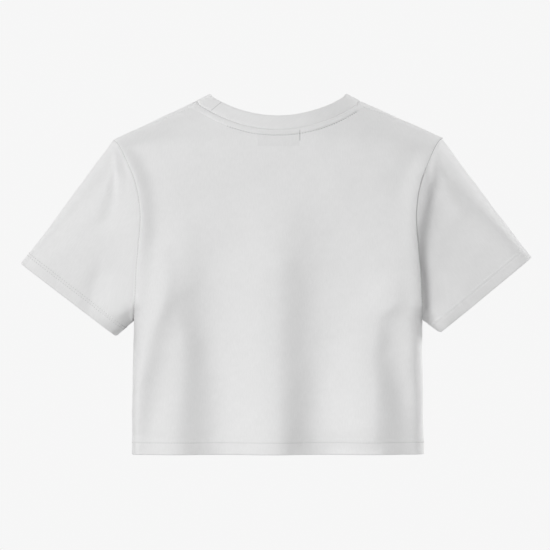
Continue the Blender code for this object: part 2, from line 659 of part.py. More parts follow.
def build(piece, material, collection):
    """The wall: outer faces, inner faces turned round, and a strip along every open edge."""
    inner = piece.points - piece.out * piece.wall[:, None]
    count = len(piece.points)
    faces = [list(face) for face in piece.faces]
    faces += [[corner + count for corner in reversed(face)] for face in piece.faces]
    for a, b, _ in piece.edges():
        faces += edge_strip(a, b, count, piece.rank[a] < piece.rank[b])
    used = sorted({corner for face in faces for corner in face})
    place = {corner: k for k, corner in enumerate(used)}
    points = np.vstack([piece.points, inner])[used]
    mesh = bpy.data.meshes.new(piece.name)
    mesh.from_pydata(points.tolist(), [], [[place[c] for c in face] for face in faces])
    mesh.validate()
    mesh.shade_smooth()
    mesh.set_sharp_from_angle(angle=math.radians(SHARP_ANGLE))
    mesh.materials.append(material)
    thing = bpy.data.objects.new(piece.name, mesh)
    collection.objects.link(thing)
    return thing


def cloth_material(name, roughness):
    material = bpy.data.materials.new(name)
    material.use_nodes = True
    shader = material.node_tree.nodes["Principled BSDF"]
    shader.inputs["Base Color"].default_value = WHITE
    shader.inputs["Roughness"].default_value = roughness
    shader.inputs["Metallic"].default_value = 0.0
    material.diffuse_color = WHITE
    return material


def hem_walls(rows, hem_rows_first):
    """Walls for each row: double where the hem is turned up."""
    walls = np.full(rows, JERSEY_WALL)
    if hem_rows_first:
        walls[:2] = HEM_WALL
    else:
        walls[-2:] = HEM_WALL
    return walls[:, None]


def main():
    for thing in list(bpy.data.objects):
        bpy.data.objects.remove(thing)
    collection = bpy.data.collections.new(COLLECTION)
    bpy.context.scene.collection.children.link(collection)
    jersey = cloth_material("jersey", 0.9)
    rib = cloth_material("rib", 0.92)

    back, front = panel_grid(BACK), panel_grid(FRONT)
    quarter = COLUMNS // 4
    neck_hole = [
        (row, k)
        for row in (len(front) - 3, len(front) - 2)
        for k in range(quarter, COLUMNS - quarter)
    ]
    chest = np.array([0.0, 0.0, -0.25])
    pieces = [
        Cloth("back_panel", back, hem_walls(len(back), True)),
        Cloth("front_panel", front, hem_walls(len(front), True), missing=neck_hole),
    ]
    for piece in pieces:
        piece.turn_outward(chest)
    for sleeve in SLEEVES:
        edge = COLUMNS if sleeve.side > 0 else 0
        grid = sleeve_grid(sleeve, in_order(back, front, edge))
        piece = Cloth(sleeve.name, grid, hem_walls(len(grid), False), ring=True)
        piece.turn_outward(grid.mean(axis=(0, 1)))
        pieces.append(piece)
    band = Cloth("neckband", band_grid(neck_loop(back, front), BAND_STEPS), RIB_WALL, ring=True)
    band.turn_outward(np.array([0.0, 0.0, -0.05]))
    pieces.append(band)

    meet_at_seams(pieces)
    for piece in pieces:
        build(piece, rib if piece.name == "neckband" else jersey, collection)


main()
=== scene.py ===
"""The looks of a cropped white cotton T-shirt, filled out as if worn.

Metres, +Z up. The front faces -Y and the wearer's left is +X. The cloth follows the same torso,
sleeves and neckline as the solids in a finer grid. It adds seams, hems, stitches and puckers.
"""

import math
from collections import namedtuple

import bpy
import numpy as np
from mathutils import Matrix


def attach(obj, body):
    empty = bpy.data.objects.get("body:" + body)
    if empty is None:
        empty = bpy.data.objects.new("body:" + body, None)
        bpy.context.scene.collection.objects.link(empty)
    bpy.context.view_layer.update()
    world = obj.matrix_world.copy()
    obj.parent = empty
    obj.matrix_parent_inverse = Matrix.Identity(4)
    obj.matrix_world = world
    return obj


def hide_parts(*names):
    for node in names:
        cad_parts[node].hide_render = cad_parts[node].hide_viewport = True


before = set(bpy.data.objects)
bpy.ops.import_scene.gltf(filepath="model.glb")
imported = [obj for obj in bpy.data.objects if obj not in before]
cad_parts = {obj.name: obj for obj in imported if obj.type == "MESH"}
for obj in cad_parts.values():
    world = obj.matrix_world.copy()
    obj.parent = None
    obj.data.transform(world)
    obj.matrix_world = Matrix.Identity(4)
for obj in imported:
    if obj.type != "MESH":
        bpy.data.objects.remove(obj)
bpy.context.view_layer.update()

MM = 0.001

# ---- sizes, as in the solids
JERSEY_WALL = 0.0012
HEM_WALL = 0.0024
RIB_WALL = 0.0027
HEM_Z = -0.4490
ARMPIT_Z = -0.279
NECK_X = 0.106
SHOULDER_SLOPE = 0.4726
TIP_X = 0.2105
TIP_Z = -(TIP_X - NECK_X) * SHOULDER_SLOPE
SEAM_BEHIND_NECK = 0.022
SEAM_BEHIND_TIP = 0.014
SEAM_TUCK = 0.0006  # the shoulder seam ends this much inside the tip of the ridge
SEAM_BOW = 0.0004
SEARCH_DOWN = 0.03  # the seam lies less than this below the tip's height
HALVINGS = 40
RIGHT_LIFT = 0.003
LIFT_FROM_X = 0.080
LIFT_DOWN = 0.240
BACK_NECK_X = 0.101
BACK_NECK_Z = -0.0371
BACK_NECK_ROUND = 0.95
FRONT_NECK_Z = -0.092
FRONT_NECK_ROUND = (2.2, 0.62)
BAND_HEIGHT = 0.020
BAND_LEAN_SIDE = 0.0176
BAND_LEAN_BACK = 0.0085
BAND_LEAN_FRONT = 0.0045
SLEEVE_HEM = 0.017
SLEEVE_DEPTH = 0.044
FOLD_FROM_SEAM = 0.010  # a sleeve's folds reach their height this far from the armhole
SIDE_FADE = 0.030
BACK, FRONT = +1, -1

Sleeve = namedtuple("Sleeve", "name side outer_x outer_z lower_x lower_z square fuller_below")
SLEEVES = [
    Sleeve("sleeve_left", +1, 0.3280, -0.2072, 0.2075, -0.2996, 6.0, 0.10),
    Sleeve("sleeve_right", -1, 0.3242, -0.1990, 0.2068, -0.2960, 7.0, 0.40),
]

Section = namedtuple("Section", "z half_width back front back_square front_square")
TORSO = [Section(*row) for row in [
    (0.01, 0.106, 0.03, 0.03, 2.0, 2.0),
    (0.0, 0.106, 0.041, 0.04, 2.05, 2.05),
    (-0.0371, 0.1845, 0.062, 0.06, 2.25, 2.1),
    (TIP_Z, 0.2105, 0.0675, 0.066, 2.45, 2.15),
    (-0.06, 0.227, 0.0705, 0.07, 2.65, 2.2),
    (-0.09, 0.24, 0.0755, 0.08, 3.0, 2.3),
    (-0.12, 0.224, 0.079, 0.092, 3.35, 2.4),
    (-0.15, 0.213, 0.0815, 0.102, 3.7, 2.5),
    (-0.21, 0.201, 0.0832, 0.112, 4.6, 2.7),
    (-0.244, 0.1985, 0.0831, 0.113, 6.0, 2.85),
    (-0.259, 0.1935, 0.0829, 0.1129, 7.0, 2.95),
    (-0.269, 0.1858, 0.0827, 0.1127, 7.8, 3.1),
    (-0.2766, 0.1831, 0.0825, 0.1124, 8.3, 3.15),
    (ARMPIT_Z, 0.1828, 0.08245, 0.1123, 8.4, 3.15),
    (-0.31, 0.1834, 0.0815, 0.1105, 9.0, 3.15),
    (HEM_Z, 0.1851, 0.077, 0.103, 9.0, 3.1),
]]

Armhole = namedtuple("Armhole", "z back front")
ARMHOLE = [Armhole(*row) for row in [
    (TIP_Z, 0.2105, 0.2105),
    (-0.055, 0.204, 0.204),
    (-0.08, 0.191, 0.189),
    (-0.105, 0.181, 0.178),
    (-0.129, 0.176, 0.172),
    (-0.15, 0.1745, 0.17),
    (-0.184, 0.177, 0.173),
    (-0.212, 0.1795, 0.177),
    (-0.24, 0.181, 0.18),
    (ARMPIT_Z, 0.1828, 0.1828),
]]

# A fold's places in millimetres, from its top to its foot: where its line is, its widths towards
# +X and -X, and its height. A height above 0 is a ridge, below 0 a trough.
Fold = namedtuple("Fold", "piece side places")
Place = namedtuple("Place", "z x left right height")
FOLDS_MM = [
    Fold("panel", BACK, [
        (-110, 0, 30, 36, 0), (-153, -3, 50, 36, 4.8), (-190, -1, 52, 36, 8.5),
        (-228, 3, 55, 36, 12.2), (-279, 3, 55, 36, 14.2), (-329, 2, 55, 36, 17.8),
        (-417, 1, 55, 36, 25),
    ]),
    Fold("panel", BACK, [
        (-140, 122, 40, 24, 0), (-190, 123, 45, 27, 4.2), (-228, 125, 45, 28, 8),
        (-254, 129, 45, 28, 9.8), (-279, 127, 42, 26, 11.8), (-304, 123, 40, 26, 13.4),
        (-367, 125, 40, 31, 17), (-417, 130, 40, 38, 20.5),
    ]),
    Fold("panel", BACK, [
        (-178, 146, 30, 18, 0), (-228, 145, 30, 18, 6), (-254, 148, 30, 18, 8.5),
        (-279, 158, 30, 19, 11.8), (-304, 169, 30, 23, 15), (-329, 175.5, 30, 25, 18.5),
        (-367, 187.5, 26, 28, 24.5), (-392, 190, 26, 27, 24.5), (-425, 193, 26, 24, 20),
    ]),
    Fold("panel", BACK, [
        (-105, -172, 40, 30, 0), (-152, -172, 48, 30, 5), (-203, -172, 55, 30, 8.5),
        (-254, -170, 55, 30, 8), (-300, -165, 50, 30, 2), (-340, -160, 50, 30, 0),
    ]),
    Fold("panel", BACK, [
        (-215, -151, 40, 18, 0), (-254, -144, 50, 18, 3), (-279, -124, 50, 17, 4.6),
        (-304, -120, 50, 17, 6.6), (-329, -117, 50, 22, 9.6),
        (-367, -120.5, 50, 26, 15.5), (-417, -120, 50, 33, 20.5),
        (-442, -125, 50, 31, 17.5),
    ]),
    Fold("panel", BACK, [
        (-250, -178, 18, 14, 0), (-279, -180, 18, 14, 4.6), (-304, -178.5, 18, 15, 5.6),
        (-354, -179, 20, 16, 5.8), (-379, -183, 20, 16, 7.4), (-442, -186, 18, 16, 6),
    ]),
    Fold("panel", FRONT, [
        (-200, 50, 26, 34, 0), (-320, 56, 28, 38, 8), (-430, 62, 30, 40, 13.5),
    ]),
    Fold("panel", FRONT, [
        (-210, -38, 30, 24, 0), (-330, -42, 34, 26, 6.5), (-430, -46, 36, 28, 11.5),
    ]),
    Fold("panel", FRONT, [
        (-215, 140, 20, 18, 0), (-290, 122, 24, 20, 4), (-430, 138, 26, 24, 9),
    ]),
    Fold("panel", FRONT, [
        (-205, -142, 22, 20, 0), (-300, -116, 26, 22, 5.5), (-430, -132, 28, 24, 10.5),
    ]),
    Fold("sleeve_right", BACK, [
        (-56, -205, 5, 5, 0), (-82, -209.4, 6, 6, 1.3), (-101, -214.5, 8, 8, 1.2),
        (-127, -222.1, 10, 12, 0.9), (-165, -235, 12, 16, 0),
    ]),
    Fold("sleeve_right", FRONT, [
        (-60, -206, 6, 6, 0), (-105, -218, 9, 9, 1.5), (-175, -239, 14, 14, 0),
    ]),
    Fold("sleeve_right", FRONT, [
        (-170, -225, 16, 12, 0), (-225, -234, 18, 14, -2), (-275, -240, 20, 14, -2.2),
    ]),
    Fold("sleeve_left", BACK, [
        (-52, 206, 5, 5, 0), (-63, 205, 6, 6, -3.5), (-82, 206.2, 6, 7, -7.5),
        (-101, 205, 8, 9, -7.8), (-127, 208, 11, 12, -6.2), (-170, 220, 16, 16, 0),
    ]),
    Fold("sleeve_left", BACK, [
        (-85, 220, 8, 12, 0), (-127, 241.2, 8, 14, -1.3), (-178, 279.2, 9, 16, -1.6),
        (-205, 300, 10, 18, 0),
    ]),
    Fold("sleeve_left", BACK, [
        (-175, 216, 14, 20, 0), (-203, 222.1, 14, 22, -2.2),
        (-228, 228.5, 14, 22, -4.4), (-254, 234.8, 14, 22, -4.6),
        (-285, 238, 14, 22, -3.6),
    ]),
    Fold("sleeve_left", BACK, [
        (-215, 185.3, 5, 5, 0), (-241, 186, 5, 5, -1.2), (-260, 187, 6, 6, -2),
        (-285, 190, 6, 6, -1.8),
    ]),
    Fold("sleeve_left", FRONT, [
        (-60, 206, 6, 6, 0), (-100, 212, 10, 10, -1.6), (-170, 230, 16, 16, 0),
    ]),
    Fold("sleeve_left", FRONT, [
        (-150, 240, 12, 18, 0), (-210, 252, 14, 20, -2), (-260, 260, 14, 20, -2.2),
    ]),
]

# The body stands up in a soft ridge along each armhole, highest at the seam.
Ridge = namedtuple("Ridge", "side hand width height")
RIDGES = [
    Ridge(BACK, +1, 0.015, 0.0094),
    Ridge(BACK, -1, 0.016, 0.0040),
    Ridge(FRONT, +1, 0.016, 0.0022),
    Ridge(FRONT, -1, 0.012, 0.0024),
]
RIDGE_FADE = 0.030

# In millimetres: beside its armhole a sleeve drops by depth, steepest at away from the seam.
Drop = namedtuple("Drop", "z away width depth")
DROPS_MM = {
    ("sleeve_right", BACK): [
        (-52, 2, 2, 0), (-58, 2.2, 2, 2.4), (-65, 2.8, 2.4, 3.6), (-77, 4.2, 3.4, 5.6),
        (-90, 8.4, 5, 8), (-101, 13, 5.8, 9.4), (-127, 14.4, 6.3, 10.2),
        (-152, 12.2, 7, 10.4), (-178, 6.2, 7, 11.2), (-203, 3.4, 6, 12.2),
        (-229, 3.4, 5.2, 13), (-254, 3, 5.2, 13), (-296, 3.5, 5.5, 6),
    ],
    ("sleeve_right", FRONT): [
        (-55, 6, 8, 0), (-110, 14, 11, 4), (-240, 8, 10, 5.5), (-296, 6, 8, 2),
    ],
    ("sleeve_left", BACK): [
        (-55, 6, 8, 0), (-90, 16, 12, 2.6), (-150, 20, 16, 3.6), (-230, 13, 12, 3.4),
        (-300, 6, 8, 1),
    ],
    ("sleeve_left", FRONT): [
        (-55, 6, 8, 0), (-120, 12, 9, 4.8), (-240, 6, 8, 6), (-300, 5, 7, 2),
    ],
}


def in_metres(kind, rows):
    """A table's rows, given in millimetres, with their names."""
    return [kind(*(round(mm * MM, 7) for mm in row)) for row in rows]


FOLDS = [fold._replace(places=in_metres(Place, fold.places)) for fold in FOLDS_MM]
DROPS = {where: in_metres(Drop, rows) for where, rows in DROPS_MM.items()}

# ---- grid
QUARTER_SHARE = {BACK: 0.58, FRONT: 0.64}
SPREAD_RATE = {BACK: 5.0, FRONT: 9.0}
COLUMNS = 188
NECK_PLACE = 0.5  # a row's places run from -1 to 1, and its neck from -0.5 to 0.5
EDGE_PLACES = (0.002, 0.005)
ROW_STEP = 0.0024
SETTLE_POWER = 2.2  # how late the columns settle into the armpit's spacing
CURVE_SAMPLES = 700
STEEP_BELOW = 0.7  # nearer the side than this the section is read by its depth


def smooth(value):
    value = np.clip(value, 0.0, 1.0)
    return value * value * (3.0 - 2.0 * value)


def within(value, low, high, over):
    """1 well between low and high, and falling softly to 0 at both."""
    return smooth((value - low) / over) * smooth((high - value) / over)


def bump(distance, width):
    """A soft hump of height 1 where distance is 0."""
    return np.exp(-((distance / width) ** 2))


def mix(start, end, share):
    return start + (end - start) * share


def closing(line):
    return np.vstack([line, line[:1]])


def lengths_along(line):
    return np.concatenate([[0.0], np.cumsum(np.linalg.norm(np.diff(line, axis=0), axis=1))])


def on_path(at, travel, path):
    """The points of a path that lie at these lengths along it."""
    return np.stack([np.interp(at, travel, path[:, k]) for k in range(path.shape[1])], axis=-1)


def unit(vectors):
    length = np.linalg.norm(vectors, axis=-1, keepdims=True)
    return vectors / np.where(length > 0, length, 1.0)


def curve(places, values):
    """A smooth function through the values that never overshoots them."""
    order = np.argsort(places)
    x = np.asarray(places, float)[order]
    y = np.asarray(values, float)[order]
    step = np.diff(x)
    rise = np.diff(y) / step
    slope = np.zeros(len(x))
    slope[0], slope[-1] = rise[0], rise[-1]
    same_way = rise[:-1] * rise[1:] > 0
    safe = np.where(same_way, rise[:-1] + rise[1:], 1.0)
    slope[1:-1] = np.where(same_way, 2.0 * rise[:-1] * rise[1:] / safe, 0.0)

    def value(at):
        at = np.clip(np.asarray(at, float), x[0], x[-1])
        k = np.clip(np.searchsorted(x, at) - 1, 0, len(step) - 1)
        t = (at - x[k]) / step[k]
        near = (1 + 2 * t) * (1 - t) ** 2 * y[k] + t * (1 - t) ** 2 * step[k] * slope[k]
        far = t * t * (3 - 2 * t) * y[k + 1] + t * t * (t - 1) * step[k] * slope[k + 1]
        return near + far

    return value


def column(table, name):
    return curve([row.z for row in table], [getattr(row, name) for row in table])


wide = column(TORSO, "half_width")
deep = {BACK: column(TORSO, "back"), FRONT: column(TORSO, "front")}
squareness = {BACK: column(TORSO, "back_square"), FRONT: column(TORSO, "front_square")}
armhole_x = {BACK: column(ARMHOLE, "back"), FRONT: column(ARMHOLE, "front")}


def half_width(z):
    return np.where(z > TIP_Z, NECK_X - z / SHOULDER_SLOPE, wide(z))


def bare_depth(x, z, side):
    power = squareness[side](z)
    across = np.clip(np.abs(x) / half_width(z), 0.0, 1.0)
    return deep[side](z) * (1.0 - across**power) ** (1.0 / power)


def fold_height(x, z, piece, side):
    """The height of a piece's folds at x and z, seen square on from the back or front."""
    total = np.zeros(np.broadcast(x, z).shape)
    for fold in FOLDS:
        if (fold.piece, fold.side) == (piece, side):
            line, left, right, height = (column(fold.places, name)(z) for name in Place._fields[1:])
            total += height * bump(x - line, np.where(x > line, left, right))
    return total


def seam_ridge(x, z, side):
    """How far the body stands up beside its armholes."""
    inside = armhole_x[side](z) - np.abs(x)
    total = np.zeros(np.broadcast(x, z).shape)
    for ridge in RIDGES:
        if ridge.side == side:
            total += np.where(x * ridge.hand > 0, ridge.height * bump(inside, ridge.width), 0.0)
    return total * within(z, ARMPIT_Z, TIP_Z, RIDGE_FADE)


def seam_drop(x, z, piece, side):
    """How far a sleeve drops at x and z, from nothing at the armhole seam."""
    rows = DROPS[piece, side]
    away, width, depth = (column(rows, name)(z) for name in Drop._fields[1:])
    aside = np.clip(np.abs(x) - armhole_x[side](z), 0.0, None)
    start = np.tanh(-away / width)
    return depth * (np.tanh((aside - away) / width) - start) / (1.0 - start)


def torso(x, z, side):
    """Points of the cloth at x and z on the back or the front, folds included."""
    x, z = np.broadcast_arrays(np.asarray(x, float), np.asarray(z, float))
    depth = bare_depth(x, z, side)
    folds = fold_height(x, z, "panel", side) + seam_ridge(x, z, side)
    depth = depth + folds * smooth(depth / SIDE_FADE)
    return np.stack([x, side * depth, z], axis=-1)


def lift_right(points):
    """Raises the wearer's right shoulder a little."""
    x, z = points[..., 0], points[..., 2]
    aside = smooth((-x - LIFT_FROM_X) / (TIP_X - LIFT_FROM_X))
    z += RIGHT_LIFT * aside * smooth(1 + z / LIFT_DOWN)
    return points


def over_shoulder(x, behind):
    low = np.full(x.shape, TIP_Z - SEARCH_DOWN)
    high = (NECK_X - x) * SHOULDER_SLOPE
    for _ in range(HALVINGS):
        middle = (low + high) / 2
        too_low = bare_depth(x, middle, BACK) > behind
        low = np.where(too_low, middle, low)
        high = np.where(too_low, high, middle)
    return np.stack([x, behind * np.ones(x.shape), low], axis=-1)


def past_neck(places):
    """The share of the way from the neck out to the shoulder's tip."""
    return np.clip((np.abs(places) - NECK_PLACE) / (1.0 - NECK_PLACE), 0.0, 1.0)


def shoulder_row(places, share):
    """A row over the shoulder: share 0 is the ridge, 1 the seam that lies behind it."""
    out = past_neck(places)
    seam_x = mix(BACK_NECK_X, TIP_X - SEAM_TUCK, out)
    behind = mix(SEAM_BEHIND_NECK, SEAM_BEHIND_TIP, out)
    x = mix(mix(NECK_X, TIP_X, out), seam_x, share) - SEAM_BOW * share * (1 - share)
    row = over_shoulder(x, behind * share)
    row[:, 0] *= np.sign(places)
    return row


def top_edge(places, side):
    on_neck = np.abs(places) <= NECK_PLACE
    share = np.clip(np.abs(places) / NECK_PLACE, 0.0, 1.0)
    if side == BACK:
        seam = shoulder_row(places, 1.0)
        seam_z = seam[np.abs(places - NECK_PLACE).argmin(), 2]
        neck_z = mix(seam_z, BACK_NECK_Z, (1 - share**2) ** BACK_NECK_ROUND)
        x = np.where(on_neck, places / NECK_PLACE * BACK_NECK_X, seam[:, 0])
        z = np.where(on_neck, neck_z, seam[:, 2])
    else:
        power, root = FRONT_NECK_ROUND
        share = np.sin(share * math.pi / 2)
        ridge_x = mix(NECK_X, TIP_X, past_neck(places))
        neck_z = FRONT_NECK_Z * (1 - share**power) ** root
        x = np.where(on_neck, NECK_X * share, ridge_x) * np.sign(places)
        z = np.where(on_neck, neck_z, (NECK_X - ridge_x) * SHOULDER_SLOPE)
    return x, z


def rounded(power, ratio):
    """A quarter of a rounded section, from its middle (0, ratio) to its side (1, 0)."""
    turn = np.linspace(0.0, math.pi / 2, CURVE_SAMPLES)
    line = np.stack([np.sin(turn), ratio * np.cos(turn)], axis=-1)
    root = 2 / power
    line = np.stack([line[:, 0] ** root, ratio * (line[:, 1] / ratio) ** root], axis=-1)
    return line, lengths_along(line)


def around(places, z, side, edge_x):
    """The x of columns spaced evenly round the torso's section from its middle to edge_x."""
    power, ratio = squareness[side](z), deep[side](z) / half_width(z)
    line, travel = rounded(power, ratio)
    edge = edge_x / half_width(z)
    edge_y = ratio * max(1.0 - edge**power, 0.0) ** (1 / power)
    at = np.abs(places) * np.interp(-edge_y, -line[:, 1], travel)
    x, y = on_path(at, travel, line).T
    steep = (1.0 - np.clip(y / ratio, 0.0, 1.0) ** power) ** (1 / power)
    x = np.where(y < STEEP_BELOW * ratio, steep, x)
    return np.sign(places) * x * half_width(z)


PLACES = np.linspace(-1.0, 1.0, COLUMNS + 1)
PLACES = np.sort(np.concatenate([PLACES] + [[near - 1.0, 1.0 - near] for near in EDGE_PLACES]))
HEM_HEIGHTS = [0.0, 0.4, 0.9, 1.6, 2.6, 4, 6, 8, 10, 12, 13.5, 14.4, 14.9, 15.3, 15.7, 16.2, 17.2,
               18.4, 19.2, 19.6, 20.0, 20.4, 21.0, 22.0, 23.6]
BAND_ROWS = [0.0, 0.5, 1.0] + [1.6 + 0.62 * k for k in range(20)] + [14.4, 16.0]
ARMPIT_ROWS = [6.0, 4.4, 3.2, 2.3, 1.6, 1.0, 0.5, 0.15, 0.0]
SHOULDER_SHARES = [0.06, 0.14, 0.22, 0.30, 0.37, 0.42, 0.46, 0.50, 0.54, 0.58, 0.64, 0.72, 0.80,
                   0.87, 0.92, 0.96, 1.0]


def filled(near, last, length=1.0):
    """Places from near to last, with about one ROW_STEP of the length between each two."""
    count = round((last[0] - near[-1]) * length / ROW_STEP)
    return near + [near[-1] + (last[0] - near[-1]) * k / count for k in range(1, count)] + last


def panel_grid(side):
    """Rows from the hem up to the neckline and shoulder seam, columns from right to left."""
    heights = filled([HEM_Z + mm * MM for mm in HEM_HEIGHTS], [ARMPIT_Z])[:-1]
    rows = [torso(around(PLACES, z, side, half_width(z)), z, side) for z in heights]
    top_x, top_z = top_edge(PLACES, side)
    top_share = top_x / top_x[-1]
    quarter = QUARTER_SHARE[side]
    even = [-1.0, -NECK_PLACE, 0.0, NECK_PLACE, 1.0]
    middle_share = np.interp(PLACES, even, [-1.0, -quarter, 0.0, quarter, 1.0])
    armpit_x = half_width(ARMPIT_Z)
    armpit_share = around(PLACES, ARMPIT_Z, side, armpit_x) / armpit_x
    fall_length = top_z[len(PLACES) // 2] - ARMPIT_Z
    near = [mm * MM / fall_length for mm in BAND_ROWS]
    last = [1.0 - mm * MM / fall_length for mm in ARMPIT_ROWS]
    for fall in filled(near, last, fall_length)[::-1]:
        z = mix(top_z, ARMPIT_Z, fall)
        edge_x = armhole_x[side](z[-1]) if fall else top_x[-1]
        spread = 1.0 - math.exp(-SPREAD_RATE[side] * fall)
        share = mix(mix(top_share, middle_share, spread), armpit_share, fall**SETTLE_POWER)
        rows.append(torso(edge_x * share, z, side))
    if side == BACK:
        beyond = np.abs(PLACES) >= NECK_PLACE
        rows[-1][beyond] = shoulder_row(PLACES, 1.0)[beyond]
    else:
        rows += [shoulder_row(PLACES, share) for share in SHOULDER_SHARES]
    return lift_right(np.array(rows)), len(heights)


NO_LENGTH = 1e-18


def distance_to(points, line):
    """How far each point is from a polyline's nearest point."""
    shape = points.shape[:-1]
    flat = points.reshape(-1, 3)
    best = np.full(len(flat), np.inf)
    for a, b in zip(line[:-1], line[1:]):
        run = b - a
        share = np.clip((flat - a) @ run / max(run @ run, NO_LENGTH), 0.0, 1.0)
        gap = flat - a - share[:, None] * run
        best = np.minimum(best, np.einsum("ij,ij->i", gap, gap))
    return np.sqrt(best).reshape(shape)


def thin(line, step=4):
    return line[sorted(set(range(0, len(line), step)) | {len(line) - 1})]


# ---- sleeves and neckband
def armhole_loop(back, front, low_rows, edge):
    """The armhole from the armpit up the back, over the shoulder and down the front."""
    up = back[low_rows:, edge]
    down = front[low_rows:-1, edge][::-1]
    return np.concatenate([up, down])[:-1]


SLEEVE_SEAM_ROWS = [0.0, 0.6, 1.2, 2.0, 3.0, 4.2, 5.6, 7.2, 9.0]
SLEEVE_LAST_ROWS = [2.0, 1.2, 0.6, 0.0]


def sleeve_steps(length):
    """Shares of the way from the armhole to the top of the hem, close together beside the seam."""
    near = [mm * MM / length for mm in SLEEVE_SEAM_ROWS]
    last = [1.0 - mm * MM / length for mm in SLEEVE_LAST_ROWS]
    return filled(near, last, length)


SLEEVE_HEM_HEIGHTS = [17.0, 16.6, 16.1, 15.2, 14.4, 13.9, 13.5, 13.1, 12.6, 11.6, 10, 8, 6, 4, 2.6,
                      1.6, 0.9, 0.4, 0.0]


def sleeve_grid(sleeve, armhole):
    """Rings from the armhole to the hem's edge, each starting at the underarm."""
    outer = np.array([sleeve.outer_x, 0.0, sleeve.outer_z])
    lower = np.array([sleeve.lower_x, 0.0, sleeve.lower_z])
    mirror = np.array([sleeve.side, 1.0, 1.0])
    centre = (outer + lower) / 2
    across = (outer - lower) / 2
    along = unit(np.array([across[2], 0.0, -across[0]]))
    travel = lengths_along(closing(armhole))
    tip = np.argmax(armhole[:, 2])
    up, down = travel[:-1] / travel[tip], (travel[-1] - travel[:-1]) / (travel[-1] - travel[tip])
    share = np.where(travel[:-1] <= travel[tip], up, down)
    facing = np.where(travel[:-1] <= travel[tip], BACK, FRONT)
    half = np.linalg.norm(across)
    quarter, _ = rounded(sleeve.square, SLEEVE_DEPTH / half)
    bend = np.vstack([quarter[::-1] * (-1, 1), quarter[1:]]) * half
    bent = lengths_along(bend)
    high, thick = on_path(share * bent[-1], bent, bend).T
    thick = thick * (1.0 + sleeve.fuller_below * smooth((1.0 - high / half) / 2))
    hem = centre + high[:, None] * across / half
    hem = (hem + (facing * thick)[:, None] * np.array([0.0, 1.0, 0.0])) * mirror
    axis = along * mirror
    reach = (hem - armhole) @ axis
    hem_top = mix(hem, armhole, (SLEEVE_HEM / reach)[:, None])
    rings = []
    for step in sleeve_steps(np.linalg.norm(hem_top - armhole, axis=1).max())[:-1]:
        rings.append(mix(armhole, hem_top, step))
    for mm in SLEEVE_HEM_HEIGHTS:
        rings.append(mix(hem, armhole, (mm * MM / reach)[:, None]))
    rings = np.array(rings)
    away = np.linalg.norm(rings - armhole, axis=2)
    to_hem = smooth(1.0 - away / np.maximum(np.linalg.norm(hem - armhole, axis=1), MM))
    x, z = rings[..., 0], rings[..., 2]
    lift = np.zeros(away.shape)
    for face in (BACK, FRONT):
        drop = seam_drop(x, z, sleeve.name, face)
        folds = fold_height(x, z, sleeve.name, face) * smooth(away / FOLD_FROM_SEAM)
        lift = np.where(facing == face, folds - (drop - drop[0]) * to_hem, lift)
    rings[..., 1] += facing * lift * smooth(np.abs(rings[..., 1]) / SIDE_FADE)
    return rings, away, (hem - rings) @ axis


QUARTER = int(np.abs(PLACES + NECK_PLACE).argmin())
FAR_QUARTER = len(PLACES) - 1 - QUARTER


def neck_loop(back, front):
    """The neckline: the back from right to left, over the shoulder, and the front back again."""
    ridge = len(front) - 1 - len(SHOULDER_SHARES)
    over_left = front[ridge + 1 : -1, FAR_QUARTER][::-1]
    over_right = front[ridge + 1 : -1, QUARTER]
    middle = slice(QUARTER, FAR_QUARTER + 1)
    return np.concatenate([back[-1, middle], over_left, front[ridge, middle][::-1], over_right])


BAND_STEPS = [0.0, 0.5, 1.0, 1.7, 2.6, 4, 6, 8.5, 11, 13.5, 15.5, 17.2, 18.3, 19.0, 19.5, 19.8,
              20.0]
BAND_LEAN_POWER = 3
BAND_EASINGS = 70  # how often the band's lean is evened out along it


def band_grid(loop):
    """Rings from the neckline up to the band's folded edge, which leans in."""
    ahead = unit(np.roll(loop, -1, axis=0) - np.roll(loop, 1, axis=0))
    inward = unit(np.stack([ahead[:, 1], -ahead[:, 0], 0 * ahead[:, 0]], axis=-1))
    inward = inward * -np.sign(np.sum(inward * (loop - loop.mean(axis=0)), axis=1))[:, None]
    middle_lean = np.where(loop[:, 1] > 0, BAND_LEAN_BACK, BAND_LEAN_FRONT)
    sideways = np.clip(np.abs(loop[:, 0]) / NECK_X, 0.0, 1.0) ** BAND_LEAN_POWER
    lean = mix(middle_lean, BAND_LEAN_SIDE, sideways)
    rise = np.sqrt(BAND_HEIGHT**2 - lean**2)
    top = inward * lean[:, None] + np.array([0.0, 0.0, 1.0]) * rise[:, None]
    top = unit(top - ahead * np.sum(top * ahead, axis=1)[:, None])
    for _ in range(BAND_EASINGS):
        top = unit(top + 0.5 * np.roll(top, 1, axis=0) + 0.5 * np.roll(top, -1, axis=0))
    return np.array([loop + top * mm * MM for mm in BAND_STEPS])


# ---- cloth shells
BODY_CENTRE = np.array([0.0, 0.0, -0.25])


